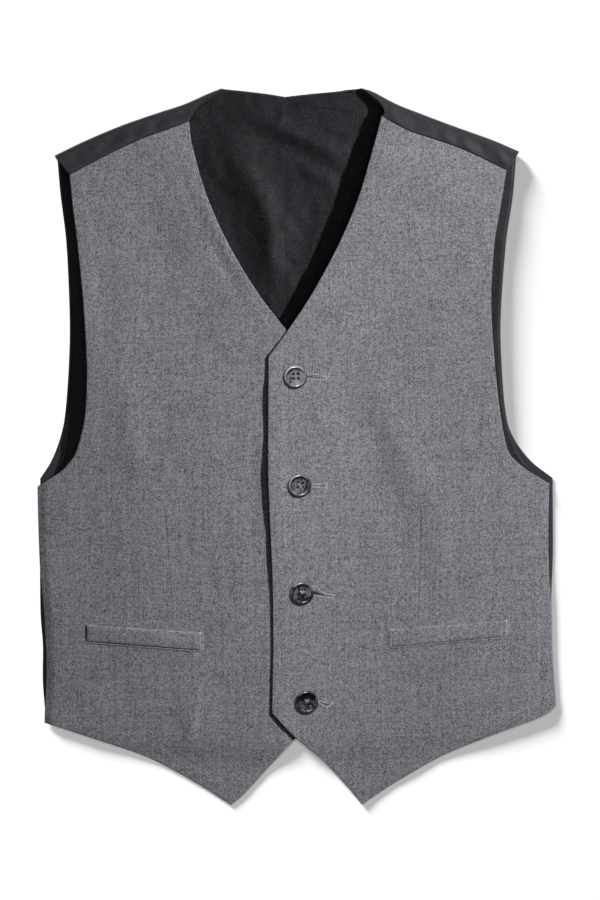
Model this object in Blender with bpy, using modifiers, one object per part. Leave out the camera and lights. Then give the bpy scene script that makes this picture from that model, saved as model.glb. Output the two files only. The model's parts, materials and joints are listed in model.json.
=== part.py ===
"""A boy's four-button suit waistcoat, buttoned and laid flat on its back.

X runs to the wearer's left, Y towards the neck and Z up from the floor that it lies on. The origin is under
the middle of the garment. Sizes are in millimetres; MM turns them into metres.

Every cloth panel is a grid stretched between its four cut edges (hem, shoulder and two long edges), raised
by one height rule that the fronts, welts and buttons share, and given its wall by Solidify.
"""

import math
from collections import namedtuple

import bmesh
import bpy
import numpy as np
from mathutils import Matrix, Vector
from mathutils.bvhtree import BVHTree

MM = 0.001

# Walls and clearances
FRONT_WALL = 1.4  # wool, interlining and facing, pressed together
BACK_WALL = 1.0
LINING_WALL = 1.0
WELT_WALL = 1.0
SEAM_GAP = 0.3
LAP_GAP = 0.4  # between the two fronts where they overlap

# What the fronts lie on
LINING_FLOOR = BACK_WALL + SEAM_GAP
STACK = LINING_FLOOR + LINING_WALL + SEAM_GAP  # back, lining and two gaps
HEM_DROP_FROM = 5.0  # how far past the back's hem a front starts to come down
HEM_DROP = 22.0  # run over which it reaches the floor
SIDE_EASE = 6.0  # run over which a front comes down to the back at the side seam

# Lap of the left front over the right
LAP_STEP = FRONT_WALL + LAP_GAP
LAP_HALF = 20.0
LAP_FULL_TO = 26.0
LAP_RAMP = 16.0
LAP_FADE_FROM = 85.0
LAP_FADE_TO = 128.0
LIFT_REACH = 16.0

# Shoulder fold of the back
NECK_ROLL = 4.6  # outer radius of the fold at the neck
ARM_ROLL = 3.5  # and at the armhole
ROLL_STEPS = 6
FLAP_ROWS = 2
NECK_SWING_FADE = 7  # how fast the swing of the neck edge dies away along the shoulder

# Insets of the back lining from the edges of the back
LINING_EDGE_INSET = 1.2
LINING_SIDE_INSET = 8.0
LINING_HEM_INSET = 9.0
LINING_EASE_ROWS = 5  # grid rows over which the side inset narrows to the edge inset at the armhole

# Buttons
BUTTON_SPAN = 15.4
BUTTON_SIDES = 24
BUTTON_CENTRES = ((-0.7, 47.3), (2.2, -26.5), (3.7, -99.6), (6.9, -173.4))
HOLE_RADIUS = 0.85
HOLE_SPACING = 2.6
HOLE_SIDES = 8
HOLE_DEPTH = 6.0
SEAT_TURNS = 16
SEAT_RINGS = (0.4, 0.7, 0.95)  # shares of the radius at which a button may touch the cloth

# Half the outline of a button: a raised rim round a shallow dish, over a gently domed back
Turned = namedtuple("Turned", "radius_share height")
BUTTON_OUTLINE = (
    Turned(0.0, 2.0),
    Turned(0.61, 2.0),
    Turned(0.71, 2.5),
    Turned(0.84, 3.0),
    Turned(0.96, 2.7),
    Turned(1.0, 1.9),
    Turned(0.94, 0.8),
    Turned(0.65, 0.1),
    Turned(0.0, 0.0),
)

# Height of the fronts above what they lie on: across the lap, at mid panel and at the armhole or side
Loft = namedtuple("Loft", "y inner middle outer")
LOFTS = (
    Loft(-244, 0.0, 0.0, 0.0),
    Loft(-200, 0.4, 0.3, 0.0),
    Loft(-160, 0.5, 0.9, 0.0),
    Loft(-100, 0.6, 1.5, 0.0),
    Loft(-26, 0.8, 1.8, 0.0),
    Loft(10, 1.2, 2.0, 3.0),
    Loft(47, 1.7, 2.5, 4.4),
    Loft(80, 3.0, 3.0, 5.2),
    Loft(120, 5.0, 3.8, 5.4),
    Loft(160, 6.4, 4.6, 5.0),
    Loft(200, 6.6, 5.4, 4.2),
    Loft(226, 6.4, 5.8, 4.0),
)

# How far the free edge of the left front stands off the right front, between the buttons
Lift = namedtuple("Lift", "y height")
EDGE_LIFTS = (
    Lift(-215, 0.3),
    Lift(-192, 0.6),
    Lift(-178, 0.3),
    Lift(-140, 0.1),
    Lift(-99, 0.4),
    Lift(-60, 1.1),
    Lift(-24, 1.7),
    Lift(12, 1.3),
    Lift(47, 0.8),
    Lift(66, 0.2),
)

# The broadest soft folds of the fronts; a negative height is a trough
Fold = namedtuple("Fold", "x0 y0 x1 y1 half_width height")
FOLD_TAPER = 0.35  # share of a fold's length over which each end dies away
FOLDS = (
    Fold(-62, 150, -32, 98, 7.0, -0.8),
    Fold(-118, 60, -112, -30, 13.0, 0.9),
    Fold(-134, 132, -126, 60, 9.0, -0.6),
    Fold(-72, -150, -76, -212, 8.0, 0.7),
    Fold(48, 34, 86, -78, 12.0, -0.8),
    Fold(68, 46, 104, -60, 12.0, 0.8),
    Fold(112, -136, 104, -200, 10.0, 0.6),
)

# Cut edges of one side of the garment. Each is a smooth curve through its knots, and they meet at corners;
# a welt has its four corners, from the end nearer the buttons. The neck swing is how far the neck edge of
# the shoulder swings out between the fold and the seam.
Cut = namedtuple(
    "Cut",
    "hand side neckline front_edge cutaway hem side_seam armhole shoulder"
    " centre_back back_hem back_side back_armhole back_neck shoulder_fold welt neck_swing",
)
CENTRE_BACK = ((-3.2, -193.3), (-5.0, -60.0), (-7.4, 90.0), (-8.0, 237.9))
LEFT = Cut(
    hand="left",
    side=1,
    neckline=(
        (-19.2, 61.1),
        (-4.8, 80.8),
        (11.2, 105.3),
        (28.7, 137.9),
        (42.4, 170.5),
        (52.0, 203.2),
        (57.7, 224.6),
    ),
    front_edge=(
        (-16.6, -181.0),
        (-16.0, -131.0),
        (-16.5, -90.6),
        (-19.3, -25.3),
        (-19.4, 20.0),
        (-19.2, 61.1),
    ),
    cutaway=((44.4, -243.2), (34.9, -231.8), (18.6, -214.0), (-1.7, -196.7), (-16.6, -181.0)),
    hem=(
        (44.4, -243.2),
        (67.5, -228.0),
        (100.2, -209.5),
        (132.8, -195.9),
        (165.4, -183.5),
        (176.0, -176.3),
    ),
    side_seam=(
        (176.0, -176.3),
        (173.6, -140.0),
        (172.8, -104.0),
        (171.3, -75.0),
        (171.2, -50.0),
        (171.6, -25.1),
    ),
    armhole=(
        (171.6, -25.1),
        (158.5, -17.1),
        (148.2, -9.0),
        (142.9, -0.8),
        (138.6, 20.0),
        (134.8, 52.0),
        (131.9, 97.1),
        (134.1, 137.9),
        (138.2, 162.4),
        (142.3, 187.7),
    ),
    shoulder=(
        (57.7, 224.6),
        (64.0, 220.6),
        (75.7, 214.5),
        (92.0, 209.0),
        (108.3, 203.5),
        (124.6, 196.4),
        (142.3, 187.7),
    ),
    centre_back=CENTRE_BACK,
    back_hem=((-3.2, -193.3), (60.0, -190.5), (130.0, -182.0), (174.3, -174.2)),
    back_side=((174.3, -174.2), (172.8, -130.0), (173.2, -98.0), (174.2, -70.0), (174.0, -21.2)),
    back_armhole=(
        (174.0, -21.2),
        (158.6, -9.0),
        (146.8, 7.3),
        (142.0, 23.7),
        (139.3, 56.3),
        (138.7, 89.0),
        (142.2, 137.9),
        (146.9, 170.5),
        (149.2, 197.0),
    ),
    back_neck=((-8.0, 237.9), (10.4, 240.0), (26.7, 241.5), (34.4, 242.7)),
    shoulder_fold=(
        (43.6, 243.7),
        (52.0, 241.0),
        (67.5, 232.9),
        (83.8, 226.4),
        (108.3, 217.2),
        (132.8, 208.4),
        (151.2, 200.5),
    ),
    welt=((62.0, -137.6), (144.7, -130.2), (62.4, -124.2), (144.7, -117.8)),
    neck_swing=7.5,
)
RIGHT = Cut(
    hand="right",
    side=-1,
    neckline=(
        (17.2, 46.8),
        (-8.4, 80.8),
        (-27.0, 105.3),
        (-46.6, 137.9),
        (-61.1, 170.5),
        (-70.6, 203.2),
        (-73.2, 220.9),
    ),
    front_edge=((19.2, -177.6), (18.6, -100.0), (17.6, -30.0), (17.2, 46.8)),
    cutaway=((-44.7, -243.6), (-35.8, -236.2), (-19.5, -218.4), (-3.2, -200.6), (19.2, -177.6)),
    hem=(
        (-44.7, -243.6),
        (-68.5, -228.5),
        (-101.1, -211.1),
        (-133.8, -199.6),
        (-160.0, -191.0),
        (-171.4, -187.5),
    ),
    side_seam=(
        (-171.4, -187.5),
        (-170.0, -150.0),
        (-171.6, -115.0),
        (-174.4, -84.0),
        (-175.6, -50.0),
        (-175.8, -27.1),
    ),
    armhole=(
        (-175.8, -27.1),
        (-160.7, -17.1),
        (-153.2, -9.0),
        (-148.9, -0.8),
        (-144.0, 20.0),
        (-142.4, 52.0),
        (-144.8, 97.1),
        (-148.8, 137.9),
        (-151.8, 162.4),
        (-154.2, 184.8),
    ),
    shoulder=(
        (-73.2, 220.9),
        (-84.8, 216.3),
        (-101.1, 210.6),
        (-117.4, 203.6),
        (-133.8, 195.4),
        (-154.2, 184.8),
    ),
    centre_back=CENTRE_BACK,
    back_hem=((-3.2, -193.3), (-70.0, -191.5), (-130.0, -187.6), (-170.5, -185.1)),
    back_side=(
        (-170.5, -185.1),
        (-172.6, -160.0),
        (-172.6, -135.0),
        (-174.2, -112.0),
        (-174.6, -70.0),
        (-174.4, -21.7),
    ),
    back_armhole=(
        (-174.4, -21.7),
        (-166.5, -9.0),
        (-160.4, 7.3),
        (-157.3, 23.7),
        (-154.9, 56.3),
        (-154.4, 89.0),
        (-156.6, 137.9),
        (-160.5, 170.5),
        (-162.6, 194.4),
    ),
    back_neck=((-8.0, 237.9), (-19.5, 239.8), (-35.8, 241.8), (-41.6, 242.4)),
    shoulder_fold=(
        (-50.8, 243.5),
        (-60.3, 239.8),
        (-76.6, 232.6),
        (-93.0, 227.2),
        (-117.4, 218.8),
        (-141.9, 208.6),
        (-164.6, 197.7),
    ),
    welt=((-63.2, -140.0), (-142.5, -133.8), (-63.2, -126.4), (-142.5, -120.9)),
    neck_swing=5.0,
)

# Grid counts
PANEL_COLUMNS = 14  # the same for fronts and backs, so that the two edges of the shoulder seam run together
LINING_COLUMNS = 8
WELT_COLUMNS = 12
WELT_ROWS = 2
SIDE_CROWDING = 1.3  # draws the columns towards the side seam, where the cloth turns down
CURVE_STEPS = 24  # fine steps between two knots of an edge
EDGE_STEPS = 120  # fine steps along an edge when its place at some height is read

# Rows of grid cells up each long edge: so many, up to this share of the edge's length
Rows = namedtuple("Rows", "edge share count")
FRONT_INNER_ROWS = (Rows("cutaway", 1.0, 8), Rows("front_edge", 1.0, 14), Rows("neckline", 1.0, 14))
FRONT_OUTER_ROWS = (Rows("side_seam", 1.0, 16), Rows("armhole", 0.2, 6), Rows("armhole", 1.0, 14))
BACK_INNER_ROWS = (Rows("centre_back", 1.0, 22), Rows("back_neck", 0.7, 3), Rows("back_neck", 1.0, 3))
BACK_OUTER_ROWS = (
    Rows("back_side", 1.0, 8),
    Rows("back_armhole", 0.3, 7),
    Rows("back_armhole", 0.8, 7),
    Rows("back_armhole", 1.0, 6),
)

# Colour, roughness and metallic value of each material
WOOL = ("grey_worsted", (0.175, 0.172, 0.190), 0.85, 0.0)
SATIN = ("black_satin", (0.020, 0.019, 0.023), 0.42, 0.0)
LINING = ("black_lining", (0.014, 0.013, 0.017), 0.5, 0.0)
HORN = ("smoke_horn", (0.035, 0.037, 0.042), 0.25, 0.0)


def ease(t):
    """A smooth step from 0 to 1."""
    t = np.clip(t, 0.0, 1.0)
    return t * t * (3.0 - 2.0 * t)


def smooth_curve(knots):
    """A function of 0 to 1 that runs at even speed along a smooth curve through the knots."""
    knots = np.array(knots, float)
    before = 2 * knots[0] - knots[1]
    after = 2 * knots[-1] - knots[-2]
    run_of_knots = np.vstack([before, knots, after])
    t = np.linspace(0.0, 1.0, CURVE_STEPS, endpoint=False)[:, None]
    stretches = []
    for a, b, c, d in zip(run_of_knots, run_of_knots[1:], run_of_knots[2:], run_of_knots[3:]):
        bend = (2 * a - 5 * b + 4 * c - d) * t**2 + (3 * b - a - 3 * c + d) * t**3
        stretches.append(0.5 * (2 * b + (c - a) * t + bend))
    fine = np.vstack(stretches + [knots[-1:]])
    steps = np.linalg.norm(np.diff(fine, axis=0), axis=1)
    share = np.concatenate([[0.0], np.cumsum(steps)]) / steps.sum()

    def at(where):
        return np.stack([np.interp(where, share, fine[:, axis]) for axis in (0, 1)], axis=-1)

    return at


def long_edge(cut, rows):
    """Points up a long edge, from the hem to the shoulder, one for each row of the grid."""
    points = [np.array(getattr(cut, rows[0].edge)[0])]
    reached = 0.0
    for stretch in rows:
        along = smooth_curve(getattr(cut, stretch.edge))
        start = reached if reached < 1.0 else 0.0
        points.extend(along(np.linspace(start, stretch.share, stretch.count + 1)[1:]))
        reached = stretch.share
    return np.array(points)


def stretched_grid(inner, outer, bottom, top, shares):
    """The grid of plan points between four edges; the last axis is (x, y)."""
    u = shares[None, :, None]
    v = np.linspace(0.0, 1.0, len(inner))[:, None, None]
    low, high = bottom[None], top[None]
    across = (1 - u) * inner[:, None] + u * outer[:, None]
    along = (1 - v) * low + v * high
    low_line = (1 - u) * low[:, :1] + u * low[:, -1:]
    high_line = (1 - u) * high[:, :1] + u * high[:, -1:]
    return across + along - (1 - v) * low_line - v * high_line


def column_shares():
    """Where the columns of a front or a back lie between its inner and its outer edge."""
    return 1.0 - (1.0 - np.linspace(0.0, 1.0, PANEL_COLUMNS + 1)) ** SIDE_CROWDING


def table_at(table, column, y):
    """A column of a table whose rows rise in y, read smoothly at the given heights."""
    keys = np.array([row.y for row in table], float)
    values = np.array([getattr(row, column) for row in table])
    place = np.clip(np.searchsorted(keys, y) - 1, 0, len(keys) - 2)
    share = ease((y - keys[place]) / (keys[place + 1] - keys[place]))
    return values[place] * (1 - share) + values[place + 1] * share


def edge_x(knots, y):
    """Where a long edge lies at the height y."""
    fine = smooth_curve(knots)(np.linspace(0.0, 1.0, EDGE_STEPS))
    order = np.argsort(fine[:, 1])
    return np.interp(y, fine[order, 1], fine[order, 0])


def edge_y(knots, x):
    """Where a hem lies at the place x."""
    fine = smooth_curve(knots)(np.linspace(0.0, 1.0, EDGE_STEPS))
    order = np.argsort(fine[:, 0])
    return np.interp(x, fine[order, 0], fine[order, 1])


def rest_height(cut, x, y):
    """Height of what a front lies on: the back and its lining, then the floor past the back's hem."""
    past_hem = edge_y(cut.back_hem, x) - y
    rest = STACK * (1.0 - ease((past_hem - HEM_DROP_FROM) / HEM_DROP))
    seam_x = edge_x(cut.side_seam, np.minimum(y, cut.armhole[0][1]))
    at_side = 1.0 - ease(cut.side * (seam_x - x) / SIDE_EASE)
    return rest - np.minimum(rest, STACK - LINING_FLOOR) * at_side


def loft_height(cut, x, y):
    """How far a front stands off what it lies on."""
    inner = np.maximum(cut.side * edge_x(cut.neckline, y), LAP_HALF)
    below_arm = y < cut.armhole[0][1]
    outer = cut.side * np.where(below_arm, edge_x(cut.side_seam, y), edge_x(cut.armhole, y))
    across = 2.0 * np.clip((cut.side * x - inner) / (outer - inner), 0.0, 1.0)
    near = table_at(LOFTS, "inner", y)
    middle = table_at(LOFTS, "middle", y)
    far = table_at(LOFTS, "outer", y)
    return np.where(
        across < 1.0,
        near + (middle - near) * ease(across),
        middle + (far - middle) * ease(across - 1.0),
    )


def folds_at(x, y):
    """Height that the soft folds add."""
    total = np.zeros_like(x)
    for fold in FOLDS:
        run = np.array([fold.x1 - fold.x0, fold.y1 - fold.y0], float)
        length = np.linalg.norm(run)
        run /= length
        along = ((x - fold.x0) * run[0] + (y - fold.y0) * run[1]) / length
        off = (x - fold.x0) * run[1] - (y - fold.y0) * run[0]
        taper = ease(along / FOLD_TAPER) * ease((1.0 - along) / FOLD_TAPER)
        total += fold.height * taper * np.exp(-((off / fold.half_width) ** 2))
    return total


def lap_height(x, y):
    """The step of the left front up onto the right one, and the lift of its free edge."""
    across = ease((LAP_FULL_TO + LAP_RAMP - x) / LAP_RAMP)
    upwards = ease((LAP_FADE_TO - y) / (LAP_FADE_TO - LAP_FADE_FROM))
    in_cutaway = y < LEFT.front_edge[0][1]
    edge = np.where(in_cutaway, edge_x(LEFT.cutaway, y), edge_x(LEFT.front_edge, y))
    lift = table_at(EDGE_LIFTS, "height", y) * (1.0 - ease((x - edge) / LIFT_REACH))
    return LAP_STEP * across * upwards + lift


def front_underside(cut, x, y):
    """Height of a front's underside over the plan."""
    height = rest_height(cut, x, y) + loft_height(cut, x, y) + folds_at(x, y)
    if cut is LEFT:
        height = height + lap_height(x, y)
    return np.maximum(height, 0.0)


def raised(plan, height):
    """Plan points with a height each; the last axis is (x, y, z)."""
    return np.concatenate([plan, np.broadcast_to(height, plan.shape[:-1])[..., None]], axis=-1)


def new_object(name, mesh, collection, material):
    thing = bpy.data.objects.new(name, mesh)
    collection.objects.link(thing)
    mesh.materials.append(material)
    return thing


def new_material(name, colour, roughness, metallic):
    material = bpy.data.materials.new(name)
    material.use_nodes = True
    shader = material.node_tree.nodes["Principled BSDF"]
    shader.inputs["Base Color"].default_value = (*colour, 1.0)
    shader.inputs["Roughness"].default_value = roughness
    shader.inputs["Metallic"].default_value = metallic
    material.diffuse_color = (*colour, 1.0)
    return material


def cloth(name, points, wall, collection, material):
    """A sheet through a grid of points (rows, columns, xyz), with its wall raised on its upper side."""
    rows, columns = points.shape[0] - 1, points.shape[1] - 1
    if points[0, 0, 0] > points[0, -1, 0]:
        points = points[:, ::-1]
    sheet = bmesh.new()
    bmesh.ops.create_grid(sheet, x_segments=columns, y_segments=rows, size=1.0)
    for vertex in sheet.verts:
        column = round((vertex.co.x + 1.0) / 2.0 * columns)
        row = round((vertex.co.y + 1.0) / 2.0 * rows)
        vertex.co = Vector(points[row, column]) * MM
    mesh = bpy.data.meshes.new(name)
    sheet.to_mesh(mesh)
    sheet.free()
    panel = new_object(name, mesh, collection, material)
    solidify = panel.modifiers.new("wall", "SOLIDIFY")
    solidify.thickness = wall * MM
    solidify.offset = 1.0
    solidify.use_even_offset = True
    return panel


def upper_surface(panel):
    """A function that gives the height of the panel's upper face at a plan point, in millimetres."""
    bpy.context.view_layer.update()
    tree = BVHTree.FromObject(panel, bpy.context.evaluated_depsgraph_get())
    far_above = 100.0

    def height(x, y):
        above = Vector((x, y, far_above)) * MM
        hit = tree.ray_cast(above, Vector((0.0, 0.0, -1.0)))[0]
        return hit.z / MM

    return height


class Shoulder:
    """The shoulder of one side: the fold line of the back, its roll, and the way forward to the seam."""

    def __init__(self, cut, shares):
        self.fold = smooth_curve(cut.shoulder_fold)(shares)
        self.seam = smooth_curve(cut.shoulder)(shares)
        self.radius = NECK_ROLL + (ARM_ROLL - NECK_ROLL) * shares
        at_neck = np.array(cut.back_neck[-1]) - self.fold[0]
        at_arm = np.array(cut.back_armhole[-1]) - self.fold[-1]
        self.to_floor = at_neck + (at_arm - at_neck) * shares[:, None]
        line = self.fold[-1] - self.fold[0]
        line /= np.linalg.norm(line)
        square = cut.side * np.array([line[1], -line[0]])
        self.depth = (self.seam - self.fold) @ square
        self.roll_share = self.radius / self.depth
        self.swing = line * (cut.neck_swing * (1.0 - shares) ** NECK_SWING_FADE)[:, None]
        self.top = front_underside(cut, self.seam[:, 0], self.seam[:, 1]) + FRONT_WALL

    def floor_row(self, share):
        """Plan points between the fold (0) and the line where the roll leaves the floor (1)."""
        return self.fold + self.to_floor * share

    def top_row(self, share):
        """Plan points between the fold (0) and the shoulder seam (1), on the upper layer."""
        share = np.broadcast_to(share, self.depth.shape)[:, None]
        return self.fold + (self.seam - self.fold) * share + self.swing * 4.0 * share * (1.0 - share)


def front_panel(cut, collection, material):
    shares = column_shares()
    hem = smooth_curve(cut.hem)(shares)
    seam = smooth_curve(cut.shoulder)(shares)
    inner = long_edge(cut, FRONT_INNER_ROWS)
    outer = long_edge(cut, FRONT_OUTER_ROWS)
    plan = stretched_grid(inner, outer, hem, seam, shares)
    shoulder = Shoulder(cut, shares)
    plan[-1] = shoulder.top_row(1.0 + SEAM_GAP / 2 / shoulder.depth)
    points = raised(plan, front_underside(cut, plan[..., 0], plan[..., 1]))
    return cloth(f"front_{cut.hand}", points, FRONT_WALL, collection, material)


def back_edges(cut):
    """The inner and outer long edges of a back, parted from the other back by half a seam gap."""
    seam_shift = np.array([cut.side * SEAM_GAP / 2, 0.0])
    return long_edge(cut, BACK_INNER_ROWS) + seam_shift, long_edge(cut, BACK_OUTER_ROWS)


def back_panel(cut, collection, material):
    """A back: flat on the floor, round the shoulder fold and forward to the shoulder seam."""
    inner, outer = back_edges(cut)
    shares = column_shares()
    shoulder = Shoulder(cut, shares)
    hem = smooth_curve(cut.back_hem)(shares)
    hem[0] = inner[0]
    roll_start = shoulder.floor_row(1.0)
    inner[-1], outer[-1] = roll_start[0], roll_start[-1]
    rows = list(raised(stretched_grid(inner, outer, hem, roll_start, shares), 0.0))
    for step in range(1, ROLL_STEPS + 1):
        turn = math.pi * step / ROLL_STEPS
        away = 1.0 - math.sin(turn)
        under = turn <= math.pi / 2
        plan = shoulder.floor_row(away) if under else shoulder.top_row(shoulder.roll_share * away)
        rows.append(raised(plan, shoulder.radius * (1.0 - math.cos(turn))))
    seam_share = 1.0 - SEAM_GAP / 2 / shoulder.depth
    rise = shoulder.top - 2 * shoulder.radius
    for step in range(1, FLAP_ROWS + 1):
        share = step / FLAP_ROWS
        plan = shoulder.top_row(shoulder.roll_share + (seam_share - shoulder.roll_share) * share)
        rows.append(raised(plan, 2 * shoulder.radius + rise * ease(share)))
    return cloth(f"back_{cut.hand}", np.array(rows), BACK_WALL, collection, material)


def lining_insets():
    """How far each row of the lining is drawn in from the outer edge of the back."""
    side_rows = BACK_OUTER_ROWS[0].count
    row_numbers = np.arange(sum(stretch.count for stretch in BACK_OUTER_ROWS) + 1)
    past_side = np.maximum(row_numbers - side_rows, 0) / LINING_EASE_ROWS
    return LINING_EDGE_INSET + (LINING_SIDE_INSET - LINING_EDGE_INSET) * ease(1.0 - past_side)


def lining_panel(cut, collection, material):
    """The back's lining: the same cut, drawn in from the edges, on the back up to the shoulder fold."""
    inner, outer = back_edges(cut)
    outer[:, 0] -= cut.side * lining_insets()
    inner[BACK_INNER_ROWS[0].count :, 1] -= LINING_EDGE_INSET
    shares = np.linspace(0.0, 1.0, LINING_COLUMNS + 1)
    hem = smooth_curve(cut.back_hem)(shares)
    hem[0], hem[-1] = inner[0], outer[0]
    hem[:, 1] += LINING_HEM_INSET
    shoulder = Shoulder(cut, shares)
    top = shoulder.floor_row((1.0 + LINING_EDGE_INSET / shoulder.radius)[:, None])
    top[0, 1] -= LINING_EDGE_INSET
    inner[0], outer[0] = hem[0], hem[-1]
    inner[-1], outer[-1] = top[0], top[-1]
    points = raised(stretched_grid(inner, outer, hem, top, shares), LINING_FLOOR)
    return cloth(f"back_lining_{cut.hand}", points, LINING_WALL, collection, material)


def pocket_welt(cut, panel, collection, material):
    """A strip laid on its front: its points are the front's own upper face, moved out by a seam gap."""
    height = upper_surface(panel)
    low_in, low_out, high_in, high_out = np.array(cut.welt)
    u = np.linspace(0.0, 1.0, WELT_COLUMNS + 1)[None, :, None]
    v = np.linspace(0.0, 1.0, WELT_ROWS + 1)[:, None, None]
    plan = (1 - v) * ((1 - u) * low_in + u * low_out) + v * ((1 - u) * high_in + u * high_out)
    heights = np.array([[height(x, y) for x, y in row] for row in plan])
    points = raised(plan, heights + SEAM_GAP)
    return cloth(f"pocket_welt_{cut.hand}", points, WELT_WALL, collection, material)


def button_drills(cutters):
    """Four pins that bore the holes of a button."""
    pins = bmesh.new()
    for across in (-0.5, 0.5):
        for along in (-0.5, 0.5):
            bmesh.ops.create_cone(
                pins,
                cap_ends=True,
                segments=HOLE_SIDES,
                radius1=HOLE_RADIUS * MM,
                radius2=HOLE_RADIUS * MM,
                depth=HOLE_DEPTH * MM,
                matrix=Matrix.Translation(Vector((across, along, 0.0)) * HOLE_SPACING * MM),
            )
    mesh = bpy.data.meshes.new("button_drills")
    pins.to_mesh(mesh)
    pins.free()
    drills = bpy.data.objects.new("button_drills", mesh)
    cutters.objects.link(drills)
    drills.hide_render = True
    drills.display_type = "WIRE"
    return drills


def button_mesh(parts, cutters):
    """One turned button with its four holes bored, as a mesh that the four buttons share."""
    radius = BUTTON_SPAN / 2
    outline = bmesh.new()
    ends = []
    for row in BUTTON_OUTLINE:
        ends.append(outline.verts.new((row.radius_share * radius * MM, 0.0, row.height * MM)))
    for first, second in zip(ends, ends[1:]):
        outline.edges.new((first, second))
    profile = bpy.data.meshes.new("button_profile")
    outline.to_mesh(profile)
    outline.free()
    blank = bpy.data.objects.new("button_blank", profile)
    parts.objects.link(blank)
    turn = blank.modifiers.new("turn", "SCREW")
    turn.steps = BUTTON_SIDES
    turn.render_steps = BUTTON_SIDES
    turn.use_merge_vertices = True
    turn.merge_threshold = 0.00005
    bore = blank.modifiers.new("holes", "BOOLEAN")
    bore.operation = "DIFFERENCE"
    bore.solver = "EXACT"
    bore.object = button_drills(cutters)
    bpy.context.view_layer.update()
    made = bpy.data.meshes.new_from_object(blank.evaluated_get(bpy.context.evaluated_depsgraph_get()))
    made.name = "button"
    bpy.data.objects.remove(blank)
    return made


def seat_button(number, centre, mesh, panel, collection):
    """A button lying on the left front, tilted as the cloth under it is."""
    height = upper_surface(panel)
    radius = BUTTON_SPAN / 2
    x, y = centre
    slope_x = (height(x + radius, y) - height(x - radius, y)) / BUTTON_SPAN
    slope_y = (height(x, y + radius) - height(x, y - radius)) / BUTTON_SPAN
    normal = Vector((-slope_x, -slope_y, 1.0)).normalized()
    base = height(x, y)
    stand = 0.0
    for step in range(SEAT_TURNS):
        turn = 2 * math.pi * step / SEAT_TURNS
        for share in SEAT_RINGS:
            dx = share * radius * math.cos(turn)
            dy = share * radius * math.sin(turn)
            stand = max(stand, height(x + dx, y + dy) - base - slope_x * dx - slope_y * dy)
    button = bpy.data.objects.new(f"button_{number}", mesh)
    collection.objects.link(button)
    button.location = Vector((x, y, base + stand + SEAM_GAP)) * MM
    button.rotation_mode = "QUATERNION"
    button.rotation_quaternion = Vector((0.0, 0.0, 1.0)).rotation_difference(normal)
    return button


def clear_scene():
    for thing in list(bpy.data.objects):
        bpy.data.objects.remove(thing)


def main():
    clear_scene()
    parts = bpy.data.collections.new("suit_waistcoat")
    cutters = bpy.data.collections.new("cutters")
    for collection in (parts, cutters):
        bpy.context.scene.collection.children.link(collection)
    wool = new_material(*WOOL)
    satin = new_material(*SATIN)
    lining = new_material(*LINING)
    horn = new_material(*HORN)
    fronts = {}
    for cut in (LEFT, RIGHT):
        back_panel(cut, parts, satin)
        lining_panel(cut, parts, lining)
        fronts[cut.hand] = front_panel(cut, parts, wool)
        pocket_welt(cut, fronts[cut.hand], parts, wool)
    button = button_mesh(parts, cutters)
    button.materials.append(horn)
    for number, centre in enumerate(BUTTON_CENTRES, start=1):
        seat_button(number, centre, button, fronts["left"], parts)


if __name__ == "__main__":
    main()
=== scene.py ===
"""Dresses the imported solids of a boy's four-button suit waistcoat, buttoned and laid flat on its back.

Makes the grey worsted fronts, the black satin back and its lining, the pocket welts, darts, buttonholes,
horn buttons and their thread, then a pale table, its lights and the camera. X runs to the wearer's left, Y
towards the neck and Z up from the table. Sizes are in millimetres, in the frame of the solids, and MM turns
them into metres. One height rule, the same as the solids', carries fronts, welts, buttons and sewing.
"""

import json
import math
from collections import namedtuple

import bmesh
import bpy
import numpy as np
from bpy.props import FloatProperty, FloatVectorProperty, PointerProperty
from mathutils import Matrix, Vector
from mathutils.bvhtree import BVHTree

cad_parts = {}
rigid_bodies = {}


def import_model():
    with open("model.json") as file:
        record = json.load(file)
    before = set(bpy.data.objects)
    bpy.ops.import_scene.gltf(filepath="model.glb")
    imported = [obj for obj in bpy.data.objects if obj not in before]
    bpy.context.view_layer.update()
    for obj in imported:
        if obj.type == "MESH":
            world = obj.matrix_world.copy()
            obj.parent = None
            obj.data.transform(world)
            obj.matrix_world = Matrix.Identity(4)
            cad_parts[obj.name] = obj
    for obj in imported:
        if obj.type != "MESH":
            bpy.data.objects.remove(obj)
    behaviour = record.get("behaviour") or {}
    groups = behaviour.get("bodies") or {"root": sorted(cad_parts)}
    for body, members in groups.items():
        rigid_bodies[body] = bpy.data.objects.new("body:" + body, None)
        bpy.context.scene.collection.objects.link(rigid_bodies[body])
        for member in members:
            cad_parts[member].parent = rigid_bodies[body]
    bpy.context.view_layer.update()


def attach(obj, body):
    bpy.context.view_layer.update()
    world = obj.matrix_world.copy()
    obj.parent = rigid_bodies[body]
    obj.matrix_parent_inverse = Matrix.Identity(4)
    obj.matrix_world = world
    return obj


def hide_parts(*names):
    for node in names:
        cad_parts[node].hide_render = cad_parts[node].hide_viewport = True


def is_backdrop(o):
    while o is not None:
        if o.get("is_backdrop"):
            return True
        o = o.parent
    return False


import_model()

bl_info = {
    "name": "Suit waistcoat",
    "version": (1, 0, 0),
    "blender": (4, 5, 0),
    "location": "3D View > Sidebar > Waistcoat",
    "description": "Makes the cloth, sewing and buttons of a boy's suit waistcoat that lies flat",
    "category": "Object",
}

MM = 0.001
BODY = "root"
SIDEBAR_TAB = "Waistcoat"

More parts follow.
